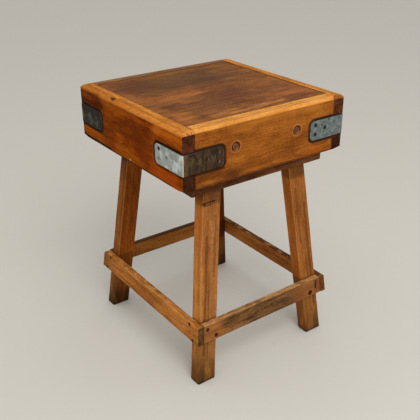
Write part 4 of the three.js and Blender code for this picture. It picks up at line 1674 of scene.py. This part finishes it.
@dataclass
class Stand:
    """The legs, the stretchers and the bearers."""

    leg_width: float = 0.067
    leg_depth: float = 0.045
    leg_arris: float = 0.0048
    foot_edge: float = 0.0022
    worn_corner: float = 0.011
    tenon_length: float = 0.015
    tenon_shoulder: float = 0.008
    gap: float = 0.0003
    stretcher_thickness: float = 0.022
    stretcher_end_gap: float = 0.001
    stretcher_arris: float = 0.0032
    cell: float = 0.008
    leg_wear: float = 0.0009
    stretcher_wear: float = 0.0012
    splay: Splay = field(default_factory=Splay)
    pieces: dict[str, Piece] = field(default_factory=dict)

    def build(self) -> None:
        """Makes the legs and the stretchers."""
        for end, y_sign in ENDS.items():
            for side, x_sign in SIDES.items():
                self._add_leg(end, side, x_sign, y_sign)
        for side, sign in SIDES.items():
            self._add_side_stretcher(side, sign)
        for end, sign in ENDS.items():
            self._add_end_stretcher(end, sign)

    def _add_leg(self, end: str, side: str, x_sign: int, y_sign: int) -> None:
        """Makes one splayed leg with its tenon."""
        node = f"leg_{end}_{side}"
        outer = Vector((self.splay.face_x(x_sign, 0), self.splay.face_y(y_sign, 0), 0))
        inner = outer - Vector((x_sign * self.leg_width, y_sign * self.leg_depth, 0))
        low = Vector(map(min, outer, inner))
        high = Vector(map(max, outer, inner))
        high.z = self.splay.shoulder - self.gap
        leg = cube(f"{end}_{side}_leg", low, high)
        round_edges(leg, lambda e: runs_along(e, Axis.Z), self.leg_arris, 4)
        round_edges(leg, lambda e: lies_at(e, Axis.Z, 0), self.foot_edge, 3)
        with editing(leg):
            pick(Element.FACE, faces_towards(UP))
            bpy.ops.mesh.inset(thickness=self.tenon_shoulder)
            rise = {"value": (0, 0, self.tenon_length + self.gap)}
            bpy.ops.mesh.extrude_region_move(TRANSFORM_OT_translate=rise)
        for axis in Axis:
            slice_along(leg, axis, self.cell)

        def leaning(point: Vector) -> Vector:
            """Moves a point inwards with its height."""
            point.x -= x_sign * self.splay.slope_x * point.z
            point.y -= y_sign * self.splay.slope_y * point.z
            return point

        move_points(leg, leaning)
        wear_down(leg, self.leg_wear, 0.045)
        self.pieces[node] = leg

    def _add_side_stretcher(self, side: str, sign: int) -> None:
        """Makes a stretcher along the legs' outer sides."""
        node = "stretcher_" + side
        low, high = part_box(node)
        middle = (low.z + high.z) / 2
        near = self.splay.face_x(sign, middle) + sign * self.gap
        far = near + sign * self.stretcher_thickness
        reach = self.splay.face_y(1, middle) + self.gap + self.stretcher_thickness
        blank = cube(side + "_stretcher", (min(near, far), -reach, low.z), (max(near, far), reach, high.z))

        def leaning(point: Vector) -> Vector:
            """Moves a point with the legs."""
            rise = point.z - middle
            point.x -= sign * self.splay.slope_x * rise
            point.y -= point.y / reach * self.splay.slope_y * rise
            return point

        if side == "left":
            worn = lambda e: runs_along(e, Axis.X) and lies_at(e, Axis.Y, reach) and lies_at(e, Axis.Z, high.z)
            round_edges(blank, worn, self.worn_corner, 6)
        self._finish_stretcher(blank, node, Axis.Y, leaning)

    def _add_end_stretcher(self, end: str, sign: int) -> None:
        """Makes a stretcher across the front or the back, between the side ones."""
        node = "stretcher_" + end
        low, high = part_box(node)
        middle = (low.z + high.z) / 2
        near = self.splay.face_y(sign, middle) + sign * self.gap
        far = near + sign * self.stretcher_thickness
        centre = self.splay.middle_x
        reach = self.splay.face_x(1, middle) - centre + self.gap - self.stretcher_end_gap
        low_corner = (centre - reach, min(near, far), low.z)
        blank = cube(end + "_stretcher", low_corner, (centre + reach, max(near, far), high.z))

        def leaning(point: Vector) -> Vector:
            """Moves a point with the legs."""
            rise = point.z - middle
            point.y -= sign * self.splay.slope_y * rise
            point.x -= (point.x - centre) / reach * self.splay.slope_x * rise
            return point

        self._finish_stretcher(blank, node, Axis.X, leaning)

    def _finish_stretcher(
        self, blank: Piece, node: str, axis: Axis, leaning: Callable[[Vector], Vector]
    ) -> None:
        """Eases a stretcher's edges, leans it with the legs and wears it."""
        round_edges(blank, lambda e: runs_along(e, axis), self.stretcher_arris, 4)
        round_edges(blank, lambda e: not runs_along(e, axis) and e.calc_face_angle(0) > 1, 0.0012, 2)
        for direction in Axis:
            slice_along(blank, direction, self.cell)
        move_points(blank, leaning)
        wear_down(blank, self.stretcher_wear, 0.04)
        self.pieces[node] = blank

    def dress(self) -> None:
        """Finishes the stand's wood."""
        for end, y_sign in ENDS.items():
            for side, x_sign in SIDES.items():
                self._dress_leg(end, side, x_sign, y_sign)
        for side in SIDES:
            self._dress_side_stretcher(side)
        for end in ENDS:
            self._dress_end_stretcher(end)
        for node, piece in self.pieces.items():
            smooth(piece)
            stand_for(piece, node)
        bearer = Timber("bearer_wood", BEARER_BROWN, mottle_strength=0.35)
        for end, sign in ENDS.items():
            bearer.dress(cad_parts["bearer_" + end], "bearer_wood", Grain((1, 0, 0), (0, sign * 0.2, 0.6)))

    def _dress_leg(self, end: str, side: str, x_sign: int, y_sign: int) -> None:
        """Gives a leg its wood, its dark foot, its streaks, and painted shade and highlights."""
        node = f"leg_{end}_{side}"
        side_tone, end_tone = LEG_TONES[f"{end}_{side}"]
        ends = Facing(FRONT, 0.5, 0.8) | Facing(BACK, 0.5, 0.8)
        lean = (-x_sign * self.splay.slope_x, -y_sign * self.splay.slope_y, 0)
        foot = (self.splay.face_x(x_sign, 0), self.splay.face_y(y_sign, 0))
        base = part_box("stretcher_left")[0].z
        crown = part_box("stretcher_left")[1].z
        dirt = FOOT_DIRT[f"{end}_{side}"]
        layers = [
            Layer(Beyond(Axis.Z, 0.17, 0.10) & Patches(16, 0.3, 0.6), screen(108, 80, 36), 0.45),
            Layer(Beyond(Axis.Z, 0.13, 0.03) & Patches(34, 0.3, 0.56, (1, 1, 0.22)), DARK_DIRT_AND_SHADE, dirt),
            Layer(Beyond(Axis.Z, 0.045, 0.0) & Patches(60, 0.3, 0.6, (1, 1, 0.4)), screen(44, 28, 12), dirt),
            Layer(Beyond(Axis.Z, 0.012, 0.002), DARK_DIRT_AND_SHADE, 0.8),
            # Painted shadow at the top of each leg, under the bearer.
            Layer(Beyond(Axis.Z, 0.590, 0.602), screen(48, 22, 10), 0.5),
            # Painted shade on the leg just below and just above the stretchers.
            Layer(Beyond(Axis.Z, base - 0.022, base - 0.002) & Beyond(Axis.Z, crown, base), DARK_DIRT_AND_SHADE, 0.5),
            Layer(Beyond(Axis.Z, crown + 0.006, crown) & Beyond(Axis.Z, base, crown), DARK_DIRT_AND_SHADE, 0.4),
            # A painted highlight on the arrises above the stretchers.
            Layer(Arrises() & Beyond(Axis.Z, base, 0.3), screen(206, 140, 70), 0.4),
        ]
        streaks = ((0.018, 0.003, 0.30, 0.2, 0.55), (0.032, 0.001, 0.20, 0.12, 0.5), (0.05, 0.002, 0.46, 0.1, 0.45))
        for inset, width, height, reach, strength in streaks:
            middle = (
                foot[0] - x_sign * inset + lean[0] * height,
                foot[1] + lean[1] * height,
                height,
            )
            streak = Around(middle, (width, 0.004, reach), 0.004, 0.0035, 0.0016, 90.0, (1, 1, 0.2), lean)
            layers.append(Layer(streak, screen(84, 44, 18), strength))
        if node == "leg_front_left":
            for across, height, half in ((-0.178, 0.606, 0.022), (-0.197, 0.6015, 0.008), (-0.182, 0.597, 0.009)):
                crack = (across, self.splay.face_y(y_sign, height), height)
                spot = Around(crack, (half, 0.004, 0.0003), 0.0021, 0.0014, 0.0012, 55.0)
                layers.append(Layer(spot, screen(34, 14, 6), 0.9))
        if side == "left":
            flank = Facing((x_sign, 0, 0), 0.5, 0.8)
            shade_from, shade_full = (0.585, 0.64) if end == "front" else (0.50, 0.64)
            if end == "front":
                # Painted light brightening the front leg's outer flank below the block's shadow.
                layers.append(Layer(flank & Beyond(Axis.Z, 0.36, 0.58), screen(176, 92, 30), 0.45))
            # Painted shadow of the block over the top of the outer flank.
            layers.append(Layer(flank & Beyond(Axis.Z, shade_from, shade_full), screen(50, 20, 6), 0.75))
        timber = Timber(
            "leg_wood",
            side_tone,
            other_tones=((ends, end_tone),),
            layers=tuple(layers),
            ring_strength=0.15,
            streak_strength=0.4,
            cloud_strength=0.3,
        )
        grain = Grain((lean[0], lean[1], 1), (x_sign * 0.2, y_sign * 0.31, 0), 2 * x_sign + 5 * y_sign)
        timber.dress(self.pieces[node], "stand_wood", grain)

    def _dress_side_stretcher(self, side: str) -> None:
        """Gives a side stretcher its golden wood, its dark ends, painted shade underneath and a painted highlight along
        its top edge.
        """
        node = "stretcher_" + side
        ends = Facing(FRONT, 0.6, 0.9) | Facing(BACK, 0.6, 0.9)
        end_tone = STRETCHER_END if side == "left" else STRETCHER_RED_END
        tone = STRETCHER_GOLD if side == "left" else STRETCHER_RED
        inward = Facing((-SIDES[side], 0, 0), 0.3, 0.6)
        layers = (
            # Painted shade on the underside.
            Layer(Facing(DOWN, 0.1, 0.7), DARK_DIRT_AND_SHADE, 0.6),
            # A painted highlight along the upper arrises, on the left stretcher only.
            Layer(Arrises() & Facing(UP, 0.2, 0.5), screen(222, 160, 92), 0.45 if side == "left" else 0.0),
            Layer(inward & Facing(UP, 0.15, 0.4), DARK_DIRT_AND_SHADE, 0.7),
            Layer(Facing(UP, 0.35, 0.7), screen(64, 34, 16), 0.0 if side == "left" else 0.85),
            Layer(Arrises() & Beyond(Axis.Y, -0.27, -0.30), DARK_DIRT_AND_SHADE, 0.0 if side == "left" else 0.6),
            Layer(Facing(UP, 0.4, 0.8) & Patches(46, 0.44, 0.6, (1, 0.5, 1)), screen(216, 160, 96), 0.4),
            Layer(Facing(UP, 0.4, 0.8) & Patches(60, 0.5, 0.62, (1, 0.4, 1), 5.0), screen(92, 54, 26), 0.5),
            Layer(Beyond(Axis.Y, 0.20, 0.32) & ~Facing(UP, 0.4, 0.8), screen(88, 46, 18), 0.6),
            Layer(Beyond(Axis.Y, 0.315, 0.326), DARK_DIRT_AND_SHADE, 0.5),
            Layer(Patches(24, 0.56, 0.72, (1, 0.4, 1)), screen(104, 62, 28), 0.4),
        ) + self._screw_marks("side", side)
        timber = Timber("side_stretcher_wood", tone, ((ends, end_tone),), layers)
        timber.dress(self.pieces[node], "stand_wood", Grain((0, 1, 0), (0.3, 0, 0.23), len(node)))

    def _screw_marks(self, face: str, at: str) -> tuple[Layer, ...]:
        """The dark ring and the pale one round each screw of a stretcher."""
        marks = []
        for level in ("upper", "lower"):
            for end in ENDS:
                for side in SIDES:
                    if at not in (end, side) or (face, level, end, side) == TORN_HOLE:
                        continue
                    low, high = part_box(f"stretcher_screw_{face}_{level}_{end}_{side}")
                    outward = Vector((SIDES[side], 0, 0)) if face == "side" else Vector((0, ENDS[end], 0))
                    head = Vector([h if o > 0.5 else l if o < -0.5 else (l + h) / 2 for l, h, o in zip(low, high, outward)])
                    reach = 0.0105 if (face, level, end, side) == BIG_HOLE else 0.0082 if face == "end" else 0.0066
                    depth = 0.92 if face == "end" else 0.7 if end == "front" else 0.35
                    ring = Around(tuple(head), reach=reach + 0.003, soft=0.003, ragged=0.001, grain=120.0)
                    marks.append(Layer(ring, screen(160, 100, 54), 0.25))
                    marks.append(Layer(Around(tuple(head), reach=reach, soft=0.002), screen(40, 20, 8), depth))
        return tuple(marks)

    def _dress_end_stretcher(self, end: str) -> None:
        """Gives the front or back stretcher its wood, its grey dirt, its rubbed top edge with a painted highlight, and
        painted shade underneath.
        """
        node = "stretcher_" + end
        sign = ENDS[end]
        middle = Around((0.0, sign * 0.32, 0.19), (0.14, 0.05, 0.05), 0.05, 0.05, 0.015, 30.0)
        top = Facing(UP, 0.5, 0.85)
        inward = Facing((0, -sign, 0), 0.3, 0.6)
        if end == "front":
            tone = STRETCHER_BROWN
            layers = (
                Layer(Facing(FRONT, 0.5, 0.8) & Patches(18, 0.4, 0.6, (0.5, 1, 2.5)), GREY_DIRT, 0.5),
                Layer(Facing(FRONT, 0.5, 0.8) & Patches(44, 0.5, 0.62, (0.35, 1, 1.5), 2.0), DARK_DIRT_AND_SHADE, 0.55),
                Layer(Facing(FRONT, 0.5, 0.8) & Patches(40, 0.52, 0.64, (0.3, 1, 1.6), 7.0), screen(170, 112, 58), 0.5),
                Layer(middle & Facing(FRONT, 0.5, 0.8), screen(70, 50, 26), 0.2),
                Layer(~middle & Facing(FRONT, 0.5, 0.8) & Beyond(Axis.X, -0.1, -0.2), screen(178, 106, 48), 0.4),
                # A patchy painted highlight along the top edge.
                Layer(Arrises() & Facing(UP, 0.2, 0.5) & Patches(30, 0.3, 0.5), screen(206, 152, 92), 0.35),
                Layer(top & Patches(50, 0.5, 0.62, (0.4, 1, 1), 5.0), screen(98, 66, 34), 0.7),
                Layer(Facing(FRONT, 0.5, 0.8) & Beyond(Axis.X, 0.09, 0.17), screen(152, 86, 40), 0.45),
            )
            gouge = Around(GOUGE, (0.0022, 0.006, 0.0135), 0.0035, 0.0025, 0.001, 90.0)
            beside = Around((GOUGE[0] + 0.016, GOUGE[1], GOUGE[2] - 0.006), (0.01, 0.005, 0.02), 0.01, 0.01)
            layers += (Layer(beside, screen(116, 62, 32), 0.45), Layer(gouge, screen(54, 25, 10), 0.95))
        else:
            tone = STRETCHER_YELLOW
            layers = (
                Layer(Patches(30, 0.5, 0.64, (0.4, 1, 2)), screen(92, 54, 22), 0.5),
                Layer(inward & Facing(UP, 0.15, 0.4), DARK_DIRT_AND_SHADE, 0.8),
                Layer(Facing(UP, 0.3, 0.7), screen(44, 24, 12), 0.85),
            )
        # Painted shade on the underside.
        layers += (Layer(Facing(DOWN, 0.1, 0.7), DARK_DIRT_AND_SHADE, 0.75),) + self._screw_marks("end", end)
        timber = Timber("end_stretcher_wood", tone, ((top, STRETCHER_TOP),), layers)
        timber.dress(self.pieces[node], "stand_wood", Grain((1, 0, 0), (0, 0.3, 0.24), len(node)))


@dataclass
class StandScrews:
    """The screws of the stretchers, and the coach screws of the legs and the block."""

    length: float = 0.052
    spin_step: float = 1.9
    screw: WoodScrew = field(default_factory=WoodScrew)

    def build(self, stand: Stand) -> None:
        """Makes the stretchers' screws, and drills for them."""
        screw = self.screw.model("stretcher_screw", self.length)
        hole = self.screw.hole(self.length)
        for number, (node, seat, end, side) in enumerate(self._seats(stand.splay)):
            piece = duplicate(screw, node.replace("stretcher_screw", "screw"), seat.matrix())
            stretcher = "stretcher_" + (side if "_side_" in node else end)
            for target in (stretcher, f"leg_{end}_{side}"):
                cut(stand.pieces[target], duplicate(hole, "hole_copy", seat.matrix()))
            place = tuple(node.split("_")[2:])
            steel = {BIG_HOLE: SUNKEN_SCREW, TORN_HOLE: RUBBED_SCREW}.get(place, STRETCHER_SCREW)
            steel.dress(piece, "screw_steel")
            stand_for(piece, node)
        bpy.data.objects.remove(screw)
        bpy.data.objects.remove(hole)

    def _seats(self, splay: Splay) -> list[tuple[str, Seat, str, str]]:
        """Each stretcher screw's node, its seat, and its leg's end and side."""
        seats = []
        for end, y_sign in ENDS.items():
            for side, x_sign in SIDES.items():
                ways = {
                    "side": Vector((x_sign, 0, splay.slope_x)).normalized(),
                    "end": Vector((0, y_sign, splay.slope_y)).normalized(),
                }
                for face, way in ways.items():
                    for level in ("upper", "lower"):
                        node = f"stretcher_screw_{face}_{level}_{end}_{side}"
                        spin = self.spin_step * len(seats)
                        seats.append((node, Seat(self._head(node, way), way, spin), end, side))
        return seats

    def _head(self, node: str, way: Vector) -> Vector:
        """The middle of a screw's head, from the points of its node that lie furthest out."""
        points = [vertex.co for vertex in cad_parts[node].data.vertices]
        furthest = max(point.dot(way) for point in points)
        top = [point for point in points if furthest - point.dot(way) < 5 * SAME_PLACE]
        return sum(top, Vector()) / len(top)

    def dress(self) -> None:
        """Finishes the coach screws, which stay as they are."""
        for end in ENDS:
            for side in SIDES:
                for kind in ("leg", "block"):
                    SCREW_STEEL.dress(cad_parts[f"{kind}_coach_screw_{end}_{side}"], "screw_steel")


@dataclass
class Studio:
    """The camera, the floor and the light."""

    position: tuple[float, float, float] = (-1.222, -1.685, 1.455)
    yaw: float = 36.03
    pitch: float = 26.16
    roll: float = -0.21
    lens: float = 57.14
    floor_reach: float = 9.0
    floor_colour: Colour = screen(205, 202, 194)
    key_place: tuple[float, float, float] = (-0.9, -3.3, 3.9)
    key_size: float = 3.0
    key_power: float = 125.0
    world_strength: float = 0.74

    def build(self) -> None:
        """Sets the camera, the floor and the light."""
        self._add_camera()
        self._add_floor()
        self._add_key()
        self._add_world()
        bpy.context.scene.view_settings.view_transform = "Standard"

    def _add_camera(self) -> None:
        """Stands the camera where the photograph was taken from."""
        yaw, pitch, roll = (math.radians(angle) for angle in (self.yaw, self.pitch, self.roll))
        camera = bpy.data.cameras.new("camera")
        camera.lens = self.lens
        camera.clip_start = 0.05
        body = bpy.data.objects.new("camera", camera)
        bpy.context.scene.collection.objects.link(body)
        turn = Matrix.Rotation(-yaw, 4, "Z") @ Matrix.Rotation(math.pi / 2 - pitch, 4, "X")
        body.matrix_world = Matrix.Translation(self.position) @ turn @ Matrix.Rotation(roll, 4, "Z")
        bpy.context.scene.camera = body

    def _add_floor(self) -> None:
        """Lays a plain pale floor under the table."""
        bpy.ops.mesh.primitive_plane_add(size=2 * self.floor_reach, location=(0, 0, 0))
        floor = bpy.context.active_object
        floor.name = "floor"
        material = bpy.data.materials.new("floor_paint")
        material.use_nodes = True
        net = Net(material.node_tree)
        surface = net.node(
            "ShaderNodeBsdfPrincipled", {}, {"Base Color": self.floor_colour, "Roughness": 0.9}
        )
        net.node("ShaderNodeOutputMaterial", {}, {"Surface": surface})
        floor.data.materials.append(material)

    def _add_key(self) -> None:
        """Hangs one broad soft lamp high on the right, in front of the table."""
        lamp = bpy.data.lights.new("key", "AREA")
        lamp.size = self.key_size
        lamp.energy = self.key_power
        body = bpy.data.objects.new("key", lamp)
        bpy.context.scene.collection.objects.link(body)
        body.matrix_world = pointing(self.key_place, Vector(self.key_place) - Vector((0, 0, 0.5)))

    def _add_world(self) -> None:
        """Fills the room with plain light, and shows it pale behind the table."""
        world = bpy.data.worlds.new("studio")
        bpy.context.scene.world = world
        world.use_nodes = True
        net = Net(world.node_tree)
        light = net.node("ShaderNodeBackground", {}, {"Color": (1.0, 0.98, 0.95), "Strength": self.world_strength})
        shown = net.node("ShaderNodeBackground", {}, {"Color": self.floor_colour, "Strength": 1.0})
        seen = net.node("ShaderNodeLightPath", {}, {}, "Is Camera Ray")
        for ray in ("Is Glossy Ray", "Is Transmission Ray"):
            seen = net.maths("MAXIMUM", seen, net.node("ShaderNodeLightPath", {}, {}, ray))
        mixed = net.node("ShaderNodeMixShader", {}, {0: seen, 1: light, 2: shown})
        net.node("ShaderNodeOutputWorld", {}, {"Surface": mixed})


def main() -> None:
    """Builds the studio and the table, piece by piece."""
    logging.basicConfig(level=logging.INFO, format="%(name)s: %(message)s")
    Studio().build()
    bolts = TieBolts()
    bolts.build()
    block = Block()
    block.build()
    block.drill(bolts)
    straps = CornerStraps()
    straps.build(block)
    stand = Stand()
    stand.build()
    screws = StandScrews()
    screws.build(stand)
    for part in (block, bolts, straps, stand, screws):
        part.dress()


if __name__ == "__main__":
    main()
